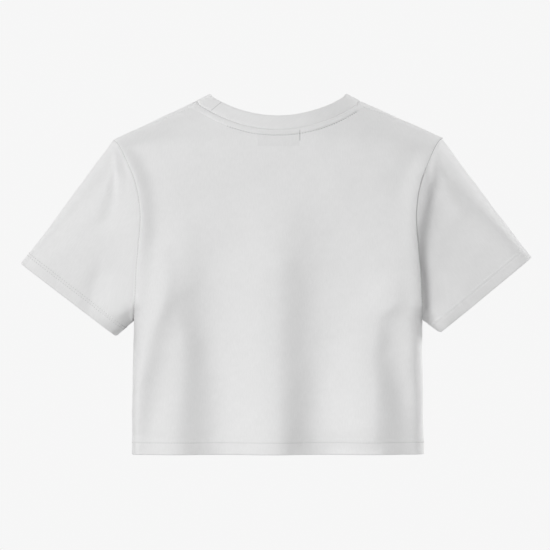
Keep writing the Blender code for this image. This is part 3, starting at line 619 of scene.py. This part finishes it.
class Cloth:
    """One cut piece: a grid of outer points with a lift and a wall for each of them."""

    def __init__(self, name, grid, wall, ring=False, missing=None):
        rows, columns = grid.shape[:2]
        self.name, self.shape, self.ring = name, (rows, columns), ring
        self.points = grid.reshape(-1, 3)
        self.wall = np.full(rows * columns, wall)
        self.lift = np.zeros(rows * columns)
        cells = columns if ring else columns - 1
        i, j = np.meshgrid(np.arange(rows - 1), np.arange(cells), indexing="ij")
        this, next_row, far = i * columns, (i + 1) * columns, (j + 1) % columns
        faces = np.stack([this + j, this + far, next_row + far, next_row + j], -1)
        if missing is not None:
            faces = faces[~missing]
        self.faces = faces.reshape(-1, 4)
        centre = self.points.mean(axis=0) if ring else BODY_CENTRE
        a, b, c, d = (self.points[self.faces[:, k]] for k in range(4))
        looks = np.einsum("ij,ij->", np.cross(c - a, d - b), (a + c) / 2 - centre)
        if looks < 0:
            self.faces = self.faces[:, ::-1]
        self.out = self.normals(self.points)

    def normals(self, points):
        a, b, c, d = (points[self.faces[:, k]] for k in range(4))
        flat = np.cross(c - a, d - b)
        total = np.zeros_like(points)
        for k in range(4):
            np.add.at(total, self.faces[:, k], flat)
        return unit(total)

    def open_edges(self):
        starts = self.faces.reshape(-1)
        ends = np.roll(self.faces, -1, axis=1).reshape(-1)
        name = np.minimum(starts, ends) * len(self.points) + np.maximum(starts, ends)
        _, first, count = np.unique(name, return_index=True, return_counts=True)
        lone = first[count == 1]
        return starts[lone], ends[lone]

    def grid(self, values):
        return values.reshape(*self.shape, *values.shape[1:])

    def outer(self):
        return self.points + self.out * self.lift[:, None]

    def surface(self, rows=slice(None)):
        """The outer points of some rows of the grid, and the directions they face."""
        return self.grid(self.outer())[rows], self.grid(self.out)[rows]


PER_MICRON = 1e6


def share_normals(pieces):
    """Where pieces meet, gives their common corners one direction, so that their walls meet."""
    owners = [np.unique(np.concatenate(piece.open_edges())) for piece in pieces]
    corners = np.vstack([piece.points[own] for piece, own in zip(pieces, owners)])
    names = np.round(corners * PER_MICRON).astype(np.int64)
    _, place = np.unique(names, axis=0, return_inverse=True)
    place = place.reshape(-1)
    total = np.zeros((place.max() + 1, 3))
    np.add.at(total, place, np.vstack([piece.out[own] for piece, own in zip(pieces, owners)]))
    total = unit(total)
    ends = np.cumsum([len(own) for own in owners])[:-1]
    for piece, own, shared in zip(pieces, owners, np.split(place, ends)):
        piece.out[own] = total[shared]


EDGE_ROUNDING = 0.93


def round_edge(piece, away):
    """Rolls the wall to a rounded edge, where away is the distance from that edge."""
    half = piece.wall / 2
    inside = np.clip(half - away, 0.0, None)
    cut = half - np.sqrt(np.clip(half**2 - inside**2, 0.0, None))
    cut = np.minimum(cut, half * EDGE_ROUNDING)
    piece.lift -= cut
    piece.wall -= 2 * cut


def make_mesh(name, points, faces, material, corner_uv=None):
    mesh = bpy.data.meshes.new(name)
    mesh.from_pydata(points.tolist(), [], faces.tolist())
    if corner_uv is not None:
        layer = mesh.uv_layers.new(name="Cloth")
        layer.data.foreach_set("uv", corner_uv.astype(np.float32).reshape(-1))
    mesh.validate()
    mesh.shade_smooth()
    mesh.materials.append(material)
    thing = bpy.data.objects.new(name, mesh)
    bpy.context.scene.collection.objects.link(thing)
    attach(thing, "root")
    return thing


def make_shell(piece, material):
    """The outer faces, the inner ones turned round, and a strip along every open edge."""
    count = len(piece.points)
    outer = piece.outer()
    inner = outer - piece.out * piece.wall[:, None]
    starts, ends = piece.open_edges()
    strip = np.stack([ends, starts, starts + count, ends + count], axis=-1)
    faces = np.vstack([piece.faces, piece.faces[:, ::-1] + count, strip])
    used = np.unique(faces)
    place = np.zeros(2 * count, int)
    place[used] = np.arange(len(used))
    uv = cloth_uv(piece)
    uv = np.vstack([uv, uv])
    points = np.vstack([outer, inner])[used]
    return make_mesh(piece.name + "_cloth", points, place[faces], material, uv[faces.reshape(-1)])


def cloth_uv(piece):
    """Metres across the knit, from its middle, and along it."""
    grid = piece.grid(piece.points)
    across = np.array([lengths_along(row) for row in grid])
    across = across - across[:, across.shape[1] // 2][:, None]
    along = np.array([lengths_along(column) for column in grid.swapaxes(0, 1)]).T
    return np.stack([across, along], axis=-1).reshape(-1, 2)


# ---- fine relief
WAVE_SIZES, WAVE_PEAK = (1.4, 3.2), 1.8


def waves(points, size, seed, count=14):
    """Smooth seeded unevenness between about -1 and 1, with bumps of about that size."""
    rng = np.random.default_rng(seed)
    total = np.zeros(len(points))
    for _ in range(count):
        way = unit(rng.normal(size=3)) * 2 * math.pi / (size * rng.uniform(*WAVE_SIZES))
        total += np.sin(points @ way + rng.uniform(0, 2 * math.pi))
    return total / math.sqrt(count / 2) / WAVE_PEAK


SEAM_DIPS = {
    "neckline": 0.0004,
    "left armhole": 0.0008,
    "right armhole": 0.0001,
    "left side": 0.0003,
    "right side": 0.0003,
    "shoulder": 0.0011,
}
SEAM_WIDTH = 0.0012
RIGHT_SLEEVE_SET_LOW = 0.0010
SET_LOW_OVER = 0.0015
NEEDLE_ROWS = (15.3, 20.0)
SLEEVE_NEEDLE_ROWS = (13.5, 17.0)
TOPSTITCH = 0.0088
TOPSTITCH_FAINT_FROM = 0.058
RIB_PITCH = 0.0023
BAND_JOIN_X = 0.085
BAND_JOIN_LEAN = 0.22
BAND_THIN_AT_TURN = 0.55
BAND_TURN = 0.014
BAND_EDGE, BAND_PROUD = 0.003, 0.0003
RIB_HIGH = 0.00010
# The neckband's joining seam is drawn as a thin line of painted shade, darkened by JOIN_SHADE.
JOIN_HALF_WIDE, JOIN_ENDS, JOIN_SHADE = 0.0009, (0.001, 0.019), 0.30


Unevenness = namedtuple("Unevenness", "height size seed")
SOFT = Unevenness(0.00035, 0.030, 11)
FINE = Unevenness(0.00016, 0.012, 12)
GATHERS = Unevenness(0.00020, 0.0045, 13)
GATHERS_AWAY, GATHERS_WIDE = 0.003, 0.0035


def uneven(points, kind):
    return kind.height * waves(points, kind.size, kind.seed)


def common_relief(piece, away):
    """Soft unevenness of all cloth, and a groove and small gathers along its seams."""
    relief = uneven(piece.points, SOFT) + uneven(piece.points, FINE)
    nearest = np.min(list(away.values()), axis=0)
    gathers = uneven(piece.points, GATHERS) * bump(nearest - GATHERS_AWAY, GATHERS_WIDE)
    piece.lift += relief + gathers
    for name, distance in away.items():
        piece.lift -= SEAM_DIPS[name] * bump(distance, SEAM_WIDTH)


HEM_PROUD, HEM_RISE_OVER = 0.00028, 0.0012
HEM_GROOVE, HEM_GROOVE_WIDE = 0.00024, 0.0005
HEM_END_PAST_ROW = 0.0015  # the hem's second layer ends this far above its upper row
WALL_ENDS_OVER = 0.001
PUCKER_WIDE = (0.0016, 0.0034)
PUCKER_REACH = (0.0, 0.018)
PUCKER_HEIGHT = (-0.0004, 0.0005)
PUCKER_LEAN = (-0.25, 0.25)
PUCKER_FADE, PUCKER_CLEAR = 0.004, 0.003
BODY_PUCKERS, SLEEVE_PUCKERS = 46, 20
BODY_SEED, SLEEVE_SEED = 20, 30


def hem_relief(piece, height, rows, puckers, seed, run):
    """The turned-up hem stands a little proud, with a groove under its lower row of stitches."""
    top = rows[1] * MM
    piece.lift += HEM_PROUD * smooth((top + HEM_RISE_OVER / 2 - height) / HEM_RISE_OVER)
    piece.lift -= HEM_GROOVE * bump(height - rows[0] * MM, HEM_GROOVE_WIDE)
    between = within(height, 0.0, top, PUCKER_CLEAR)
    rng = np.random.default_rng(seed)
    total = run.max()
    for _ in range(puckers):
        at, width = rng.uniform(0, total), rng.uniform(*PUCKER_WIDE)
        low, high = sorted(rng.uniform(*PUCKER_REACH, 2))
        size = rng.uniform(*PUCKER_HEIGHT)
        lean = rng.uniform(*PUCKER_LEAN)
        reach = within(height, low - PUCKER_FADE, high + PUCKER_FADE, PUCKER_FADE)
        piece.lift += size * bump(run - at - lean * height, width) * between * reach
    doubled = smooth((top + HEM_END_PAST_ROW - height) / WALL_ENDS_OVER)
    piece.wall = mix(JERSEY_WALL, HEM_WALL, doubled)
    round_edge(piece, height)


# A second line of sewing on the wearer's left shoulder, this far in front of the seam.
TAPE_AT_NECK, TAPE_AT_TIP = 0.0110, 0.0070

# Places that are a little darker. On the back a label inside shows through, and the line where its
# end is sewn down is painted shade.
Mark = namedtuple("Mark", "left right low high shade lean", defaults=(0.0,))
LABEL = Mark(-0.0277, 0.0264, -0.0590, -0.0400, 0.030)
TACK_SHADE = Mark(-0.0286, -0.0266, -0.0522, -0.0384, 0.30)
MARK_EDGE = 0.0008
LABEL_STANDS_OUT, LABEL_EDGE = 0.00022, 0.001

# The neck seam is sewn down on the back: a soft roll with a groove under the topstitch.
NECK_ROLL, NECK_ROLL_FROM, NECK_ROLL_OVER = 0.0008, 0.002, 0.0026
NECK_ROLL_PAST = 0.0004
SEWN_DEEP, SEWN_WIDE, SEWN_FAINTER, FAINTER_OVER = 0.0008, 0.0007, 0.7, 0.010
FRONT_ROLL, FRONT_ROLL_AWAY, FRONT_ROLL_WIDE = 0.0004, 0.003, 0.002
TAPE_DEEP, TAPE_WIDE, TAPE_STARTS_OVER = 0.0010, 0.0009, 0.004


def taped(x):
    """How far in front of the left shoulder seam the second line of sewing lies."""
    return mix(TAPE_AT_NECK, TAPE_AT_TIP, (x - NECK_X) / (TIP_X - NECK_X))


def panel_relief(piece, side, lines, shoulders):
    """Seams, hem, and on the back the sewn-down neck and a label that shows through."""
    away = {name: distance_to(piece.points, line) for name, line in lines.items()}
    shoulder = np.minimum(*(distance_to(piece.points, thin(line)) for line in shoulders))
    common_relief(piece, away | {"shoulder": shoulder})
    x, z = piece.points[:, 0], piece.points[:, 2]
    height = z - HEM_Z
    hem_relief(piece, height, NEEDLE_ROWS, BODY_PUCKERS, BODY_SEED + side, x - x.min())
    neck = away["neckline"]
    if side == BACK:
        to_groove = smooth((TOPSTITCH + NECK_ROLL_PAST - neck) / NECK_ROLL_OVER)
        piece.lift += NECK_ROLL * smooth(neck / NECK_ROLL_FROM) * to_groove
        deep_sewn = 1.0 - SEWN_FAINTER * smooth((x - TOPSTITCH_FAINT_FROM) / FAINTER_OVER)
        piece.lift -= SEWN_DEEP * bump(neck - TOPSTITCH, SEWN_WIDE) * deep_sewn
        label = within(x, LABEL.left, LABEL.right, LABEL_EDGE)
        piece.lift += LABEL_STANDS_OUT * label * within(z, LABEL.low, LABEL.high, LABEL_EDGE)
    else:
        piece.lift += FRONT_ROLL * bump(neck - FRONT_ROLL_AWAY, FRONT_ROLL_WIDE)
        tape = bump(shoulder - taped(x), TAPE_WIDE) * smooth((x - NECK_X) / TAPE_STARTS_OVER)
        piece.lift -= TAPE_DEEP * tape
    return neck


# ---- stitches
STITCH_PITCH = 0.0036
STITCH_LONG = 0.0024
THREAD = 0.00050
# The dark pieces in needle holes are painted shade, standing in for the shadow in each hole.
HOLE_LONG = 0.0014
HOLE_WIDE = 0.00090
HOLE_START = 0.98
SEAM_SHADE_LONG = STITCH_PITCH * 1.04
SEAM_SHADE_WIDE = 0.00060
# A stitch's cross sections: their places along it, their radii and how far they rise.
STATIONS = np.array([-0.5, -0.42, -0.2, 0.2, 0.42, 0.5])
RADII = np.array([0.35, 0.8, 1.0, 1.0, 0.8, 0.35])
RISES = np.array([-0.34, -0.12, 0.14, 0.14, -0.12, -0.34])
ROUND = 6


def stitch_row(name, path, out, material, closed, long, thick, start=0.5):
    """Short rounded lengths in a row on a path, each dipping into the cloth at its ends."""
    if closed:
        path, out = closing(path), closing(out)
    travel = lengths_along(path)
    count = int(travel[-1] / STITCH_PITCH)
    pitch = travel[-1] / count
    at = ((np.arange(count) + start) * pitch)[:, None] + STATIONS * long
    centre, normal = on_path(at, travel, path), unit(on_path(at, travel, out))
    ahead = unit(centre[:, -1:] - centre[:, :1])
    aside = unit(np.cross(np.broadcast_to(ahead, normal.shape), normal))
    centre = centre + normal * (RISES * thick)[:, None]
    turn = np.arange(ROUND) * 2 * math.pi / ROUND
    ring = aside[:, :, None] * np.cos(turn)[:, None] + normal[:, :, None] * np.sin(turn)[:, None]
    points = centre[:, :, None] + ring * (RADII * thick / 2)[:, None, None]
    one = []
    for k in range(len(STATIONS) - 1):
        here, beyond = k * ROUND, (k + 1) * ROUND
        for m in range(ROUND):
            n = (m + 1) % ROUND
            one.append([here + m, here + n, beyond + n, beyond + m])
    last = ROUND * (len(STATIONS) - 1)
    for first, order in ((0, -1), (last, 1)):
        corners = [first + m for m in range(ROUND)][::order]
        one += [corners[:4], [corners[0], *corners[3:]]]
    each = np.arange(count)[:, None, None] * ROUND * len(STATIONS)
    faces = (np.array(one)[None] + each).reshape(-1, 4)
    return make_mesh(name, points.reshape(-1, 3), faces, material)


# ---- materials
class Value:
    """A shader socket that sums and products can be written with."""

    def __init__(self, tree, socket):
        self.tree, self.socket = tree, socket

    def math(self, operation, *others):
        step = self.tree.nodes.new("ShaderNodeMath")
        step.operation = operation
        for place, other in zip(step.inputs, (self, *others)):
            if isinstance(other, Value):
                self.tree.links.new(other.socket, place)
            else:
                place.default_value = other
        return Value(self.tree, step.outputs[0])

    def __add__(self, other):
        return self.math("ADD", other)

    def __mul__(self, other):
        return self.math("MULTIPLY", other)

    __radd__ = __add__
    __rmul__ = __mul__


def node(tree, kind, settings=(), output=0, **inputs):
    """Adds a node, with its settings first and then its sockets, and gives back one output."""
    made = tree.nodes.new(kind)
    for name, value in dict(settings).items():
        setattr(made, name, value)
    for name, value in inputs.items():
        place = made.inputs[name.replace("_", " ")]
        if isinstance(value, Value):
            tree.links.new(value.socket, place)
        else:
            place.default_value = value
    return Value(tree, made.outputs[output])


def inside(value, low, high):
    """1 where a value lies between two others, and 0 elsewhere, with soft ends."""
    total = 1.0
    for rise in (value + -low, value * -1.0 + high):
        total = (rise * (1.0 / MARK_EDGE)).math("MINIMUM", 1.0).math("MAXIMUM", 0.0) * total
    return total


def new_material(name, **looks):
    """A material and its shader, with the shader's sockets set by their names."""
    material = bpy.data.materials.new(name)
    material.use_nodes = True
    shader = material.node_tree.nodes["Principled BSDF"]
    for socket, value in looks.items():
        shader.inputs[socket.replace("_", " ")].default_value = value
    return material, shader


STREAKS_ACROSS, STREAKS_ALONG, CLOUDS = 600.0, 130.0, 90.0  # in each metre
WALE_HIGH, COURSE_HIGH, STREAK_HIGH, CLOUD_HIGH = 0.5, 0.25, 1.6, 0.8
STREAK_SHADE, CLOUD_SHADE = 0.090, 0.030
KNIT_BUMP, KNIT_HEIGHT = 0.35, 0.00025


def cloth_material(name, color, knit, marks=()):
    """White cotton: fine knit columns and rows, with faint uneven streaks along the columns."""
    looks = {"Roughness": 0.9, "Sheen_Weight": 0.12, "Sheen_Roughness": 0.5}
    material, shader = new_material(name, Specular_IOR_Level=0.25, **looks)
    tree = material.node_tree
    uv = node(tree, "ShaderNodeUVMap", {"uv_map": "Cloth"})
    across = node(tree, "ShaderNodeSeparateXYZ", Vector=uv)
    along = Value(tree, across.socket.node.outputs[1])
    wale, course = knit
    wales = (across * (2 * math.pi / wale)).math("SINE")
    courses = (along * (2 * math.pi / course)).math("SINE")
    streaks = {"X": across * STREAKS_ACROSS, "Y": along * STREAKS_ALONG}
    streak_at = node(tree, "ShaderNodeCombineXYZ", **streaks)
    streak = node(tree, "ShaderNodeTexNoise", Vector=streak_at, Scale=1.0, Detail=3.0)
    cloud_at = node(tree, "ShaderNodeCombineXYZ", X=across * 1.0, Y=along * 1.0)
    cloud = node(tree, "ShaderNodeTexNoise", Vector=cloud_at, Scale=CLOUDS, Detail=4.0)
    height = wales * WALE_HIGH + courses * COURSE_HIGH + streak * STREAK_HIGH + cloud * CLOUD_HIGH
    shade = streak * STREAK_SHADE + cloud * CLOUD_SHADE + (1.0 - (STREAK_SHADE + CLOUD_SHADE) / 2)
    # Each mark darkens its place: painted shade along a sewn line, or a label that shows through.
    for mark in marks:
        marked = inside(across + along * -mark.lean, mark.left, mark.right)
        marked = marked * inside(along, mark.low, mark.high)
        shade = shade * (marked * -mark.shade + 1.0)
    red, green, blue = (shade * part for part in color)
    tone = node(tree, "ShaderNodeCombineColor", Red=red, Green=green, Blue=blue)
    raised = node(tree, "ShaderNodeBump", Height=height, Strength=KNIT_BUMP, Distance=KNIT_HEIGHT)
    tree.links.new(tone.socket, shader.inputs["Base Color"])
    tree.links.new(raised.socket, shader.inputs["Normal"])
    return material


def plain_material(name, grey, roughness):
    color = (grey, grey, grey, 1.0)
    looks = {"Base_Color": color, "Roughness": roughness, "Specular_IOR_Level": 0.2}
    return new_material(name, **looks)[0]


WHITE_COTTON = (0.83, 0.83, 0.83)
JERSEY_KNIT = (0.0007, 0.00055)
RIB_KNIT = (0.0009, 0.0006)
jersey = cloth_material("jersey knit", WHITE_COTTON, JERSEY_KNIT)
thread = plain_material("cotton thread", 0.80, 0.8)
# Greys of painted shade: dark pieces laid where only shadow falls, in needle holes and deep in
# seams.
needle_hole_shade = plain_material("shaded needle hole", 0.30, 1.0)
seam_shade = plain_material("shaded seam", 0.42, 1.0)
faint_shade = plain_material("faintly shaded seam", 0.62, 1.0)
hem_hole_shade = plain_material("needle hole in a hem", 0.58, 1.0)

# ---- pieces
SIDE_LINE_POINTS = 12
back_grid, low_rows = panel_grid(BACK)
front_grid, _ = panel_grid(FRONT)
ridge_row = len(front_grid) - 1 - len(SHOULDER_SHARES)
missing = np.zeros((len(front_grid) - 1, len(PLACES) - 1), bool)
missing[ridge_row:, QUARTER:FAR_QUARTER] = True

pieces = {
    "back_panel": Cloth("back_panel", back_grid, JERSEY_WALL),
    "front_panel": Cloth("front_panel", front_grid, JERSEY_WALL, missing=missing),
}
armholes = {}
sleeve_away, sleeve_height = {}, {}
for sleeve in SLEEVES:
    edge = len(PLACES) - 1 if sleeve.side > 0 else 0
    armholes[sleeve.side] = armhole_loop(back_grid, front_grid, low_rows, edge)
    rings, away, height = sleeve_grid(sleeve, armholes[sleeve.side])
    sleeve_away[sleeve.name], sleeve_height[sleeve.name] = away, height
    pieces[sleeve.name] = Cloth(sleeve.name, rings, JERSEY_WALL, ring=True)
loop = neck_loop(back_grid, front_grid)
pieces["neckband"] = Cloth("neckband", band_grid(loop), RIB_WALL, ring=True)
share_normals(pieces.values())

lines = {"neckline": thin(closing(loop), step=2)}
for hand, side in (("left", +1), ("right", -1)):
    lines[f"{hand} armhole"] = thin(closing(armholes[side]), step=3)
    heights = np.linspace(HEM_Z, ARMPIT_Z, SIDE_LINE_POINTS)
    lines[f"{hand} side"] = np.array([[side * half_width(z), 0.0, z] for z in heights])
shoulders = [back_grid[-1, : QUARTER + 1], back_grid[-1, FAR_QUARTER:]]
neck_away = panel_relief(pieces["back_panel"], BACK, lines, shoulders)
panel_relief(pieces["front_panel"], FRONT, lines, shoulders)

for sleeve in SLEEVES:
    piece = pieces[sleeve.name]
    away = sleeve_away[sleeve.name].reshape(-1)
    common_relief(piece, {"left armhole" if sleeve.side > 0 else "right armhole": away})
    if sleeve.side < 0:
        piece.lift -= RIGHT_SLEEVE_SET_LOW * smooth(away / SET_LOW_OVER)
    rings = piece.grid(piece.points)
    height = sleeve_height[sleeve.name].reshape(-1)
    run = np.tile(lengths_along(rings[-1]), len(rings))
    hem_relief(piece, height, SLEEVE_NEEDLE_ROWS, SLEEVE_PUCKERS, SLEEVE_SEED + sleeve.side, run)

band = pieces["neckband"]
band_height = np.repeat(np.array(BAND_STEPS) * MM, band.shape[1])
band_run = np.tile(lengths_along(loop), len(BAND_STEPS))
common_relief(band, {"neckline": band_height})
body = within(band_height, 0.0, BAND_HEIGHT, BAND_EDGE)
band.lift += BAND_PROUD * body + RIB_HIGH * np.sin(band_run * 2 * math.pi / RIB_PITCH) * body
join_column = int(np.hypot(loop[:, 0] - BAND_JOIN_X, np.minimum(loop[:, 1], 0.0)).argmin())
beside_turn = np.tile(np.abs(loop[:, 1]), len(BAND_STEPS))
band.wall = band.wall * mix(BAND_THIN_AT_TURN, 1.0, smooth(beside_turn / BAND_TURN))
round_edge(band, BAND_HEIGHT - band_height)

# ---- meshes
def on_cloth(piece, mark):
    """A mark's x and z as distances across and along the piece's cloth."""
    uv = cloth_uv(piece)
    ends = []
    for x, z in ((mark.left, mark.low), (mark.right, mark.high)):
        near = np.hypot(piece.points[:, 0] - x, piece.points[:, 2] - z).argmin()
        ends.append(uv[near] + (x - piece.points[near, 0], z - piece.points[near, 2]))
    return Mark(ends[0][0], ends[1][0], ends[0][1], ends[1][1], mark.shade)


# The label shows through the cloth. The tack's darker line is painted shade.
marks = [on_cloth(pieces["back_panel"], mark) for mark in (LABEL, TACK_SHADE)]
materials = dict.fromkeys(pieces, jersey)
# The rib's joining seam gets a thin line of painted shade.
join_across = float(cloth_uv(band)[join_column, 0])
join_sides = (join_across - JOIN_HALF_WIDE, join_across + JOIN_HALF_WIDE)
join_seam_shade = Mark(*join_sides, *JOIN_ENDS, JOIN_SHADE, BAND_JOIN_LEAN)
materials["neckband"] = cloth_material("joined rib knit", WHITE_COTTON, RIB_KNIT, [join_seam_shade])
materials["back_panel"] = cloth_material("marked jersey knit", WHITE_COTTON, JERSEY_KNIT, marks)
for name, piece in pieces.items():
    shell = make_shell(piece, materials[name])
    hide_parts(name)
    "rib" if name == "neckband" else "jersey"


def sewn(name, path, out, closed=False, hole=None):
    """A row of stitches, some rows with a dark piece between each two of them: painted shade in the
    needle hole.
    """
    rows = [stitch_row(name, path, out, thread, closed, STITCH_LONG, THREAD)]
    if hole:
        size = (HOLE_LONG, HOLE_WIDE, HOLE_START)
        rows.append(stitch_row(name + "_holes", path, out, hole, closed, *size))
    return rows


def shaded_seam(name, path, out, closed=False, shade=seam_shade):
    """The shadow deep in a seam, where the cloth turns in: a thin dark line."""
    row = stitch_row(name, path, out, shade, closed, SEAM_SHADE_LONG, SEAM_SHADE_WIDE)
    return [row]


def hem_row(mm):
    """One row of stitches right round the body."""
    k = HEM_HEIGHTS.index(mm)
    halves = (("back_panel", 1), ("front_panel", -1))
    rows = [[line[::order][:-1] for line in pieces[name].surface(k)] for name, order in halves]
    return [np.vstack(pair) for pair in zip(*rows)]


COLUMNS_PAST_NECK = 6
FAINT_PAST_GROOVE = 0.006
threads = {name: [] for name in pieces}
# Some rows get dark pieces of painted shade between their stitches, for the shadow in the needle
# holes.
for mm, hole in zip(NEEDLE_ROWS, (hem_hole_shade, None)):
    threads["back_panel"] += sewn(f"body_hem_stitches_{mm:g}", *hem_row(mm), True, hole)
for sleeve in SLEEVES:
    hole = faint_shade if sleeve.side > 0 else None
    for mm in SLEEVE_NEEDLE_ROWS:
        row = pieces[sleeve.name].surface(SLEEVE_HEM_HEIGHTS.index(mm) - len(SLEEVE_HEM_HEIGHTS))
        threads[sleeve.name] += sewn(f"{sleeve.name}_stitches_{mm:g}", *row, True, hole)

back = pieces["back_panel"]
(outer, out), neck = back.surface(), back.grid(neck_away)
path, directions = [], []
for k in range(QUARTER - COLUMNS_PAST_NECK, FAR_QUARTER + COLUMNS_PAST_NECK + 1):
    row = len(neck) - 1
    while row > low_rows and neck[row, k] < TOPSTITCH:
        row -= 1
    if row < len(neck) - 1:
        share = (neck[row, k] - TOPSTITCH) / (neck[row, k] - neck[row + 1, k])
        path.append(mix(outer[row, k], outer[row + 1, k], share))
        directions.append(out[row, k])
path, directions = np.array(path), np.array(directions)
faint = int((path[:, 0] < TOPSTITCH_FAINT_FROM + FAINT_PAST_GROOVE).sum())
dotted = path[: faint + 1], directions[: faint + 1]
threads["back_panel"] += sewn("neck_topstitch", *dotted, False, needle_hole_shade)
threads["back_panel"] += sewn("neck_topstitch_left", path[faint:], directions[faint:])

for sleeve in SLEEVES:
    seam = pieces[sleeve.name].surface(0)
    shade = faint_shade if sleeve.side > 0 else seam_shade
    threads[sleeve.name] += shaded_seam(f"{sleeve.name}_armhole_shade", *seam, True, shade)
outer, out = pieces["front_panel"].surface()
for name, columns in (("right", slice(None, QUARTER + 1)), ("left", slice(FAR_QUARTER, None))):
    seam = outer[-1, columns], out[-1, columns]
    threads["front_panel"] += shaded_seam(f"{name}_shoulder_shade", *seam)
path, directions = [], []
for k in range(FAR_QUARTER, len(PLACES)):
    rows = outer[ridge_row:, k]
    to_seam = np.linalg.norm(rows - rows[-1], axis=1)
    at = taped(rows[-1, 0])
    path.append(on_path(-at, -to_seam, rows))
    directions.append(out[ridge_row + int((to_seam > at).sum()), k])
tape = np.array(path), np.array(directions)
threads["front_panel"] += shaded_seam("left_shoulder_tape_shade", *tape)

for name, piece in pieces.items():
    grid = piece.grid(piece.points)
    a, b, c, d = (piece.points[piece.faces[:, k]] for k in range(4))
    area = float(np.linalg.norm(np.cross(c - a, d - b), axis=1).sum() / 2)

# ---- floor, light and camera
FLOOR_Z, FLOOR_RADIUS, FLOOR_SIDES = -1.4, 3.0, 96
floor = bpy.data.meshes.new("floor")
turn = np.arange(FLOOR_SIDES) * 2 * math.pi / FLOOR_SIDES
edge = FLOOR_RADIUS * np.stack([np.cos(turn), np.sin(turn)], axis=-1)
corners = [(x, y, FLOOR_Z) for x, y in edge.tolist()]
floor.from_pydata(corners, [], [list(range(FLOOR_SIDES))])
floor.materials.append(plain_material("pale floor", 0.72, 0.9))
floor = bpy.data.objects.new("floor", floor)
bpy.context.scene.collection.objects.link(floor)


def sun(name, azimuth, elevation, strength, softness):
    """A wide soft light without falloff. Azimuth 0 shines on the back, 90 on the wearer's left."""
    light = bpy.data.lights.new(name, "SUN")
    light.energy, light.angle = strength, math.radians(softness)
    lamp = bpy.data.objects.new(name, light)
    lamp.rotation_euler = (math.radians(90 - elevation), 0.0, math.radians(180 - azimuth))
    bpy.context.scene.collection.objects.link(lamp)


SUNS = [  # name, azimuth, elevation, strength, softness
    ("key", 27.0, 24.0, 2.21, 24.0),
    ("top", 0.0, 70.0, 0.16, 30.0),
    ("front key", 150.0, 24.0, 1.6, 24.0),
    ("right fill", -120.0, 20.0, 1.9, 22.0),
    ("low fill", -112.0, -14.0, 1.3, 22.0),
]
for settings in SUNS:
    sun(*settings)

scene = bpy.context.scene
world = bpy.data.worlds.new("studio")
world.use_nodes = True
scene.world = world
tree = world.node_tree
sky = tree.nodes["Background"]
seen = node(tree, "ShaderNodeLightPath")
sky.inputs["Color"].default_value = (1.0, 1.0, 1.0, 1.0)
WORLD_LIGHT, WORLD_SEEN = 0.16, 0.925
strength = seen * (WORLD_SEEN - WORLD_LIGHT) + WORLD_LIGHT
tree.links.new(strength.socket, sky.inputs["Strength"])

camera = bpy.data.cameras.new("camera")
CAMERA_X, CAMERA_AWAY, CAMERA_Z = 0.00384, 6.0, -0.222
FRAME_WIDTH, SENSOR_WIDTH = 0.704, 36.0
camera.sensor_width = SENSOR_WIDTH
camera.lens = SENSOR_WIDTH * CAMERA_AWAY / FRAME_WIDTH
camera.clip_end = 50.0
eye = bpy.data.objects.new("camera", camera)
eye.location = (CAMERA_X, CAMERA_AWAY, CAMERA_Z)
eye.rotation_euler = (math.pi / 2, 0.0, math.pi)
scene.collection.objects.link(eye)
scene.camera = eye
scene.view_settings.view_transform = "Standard"
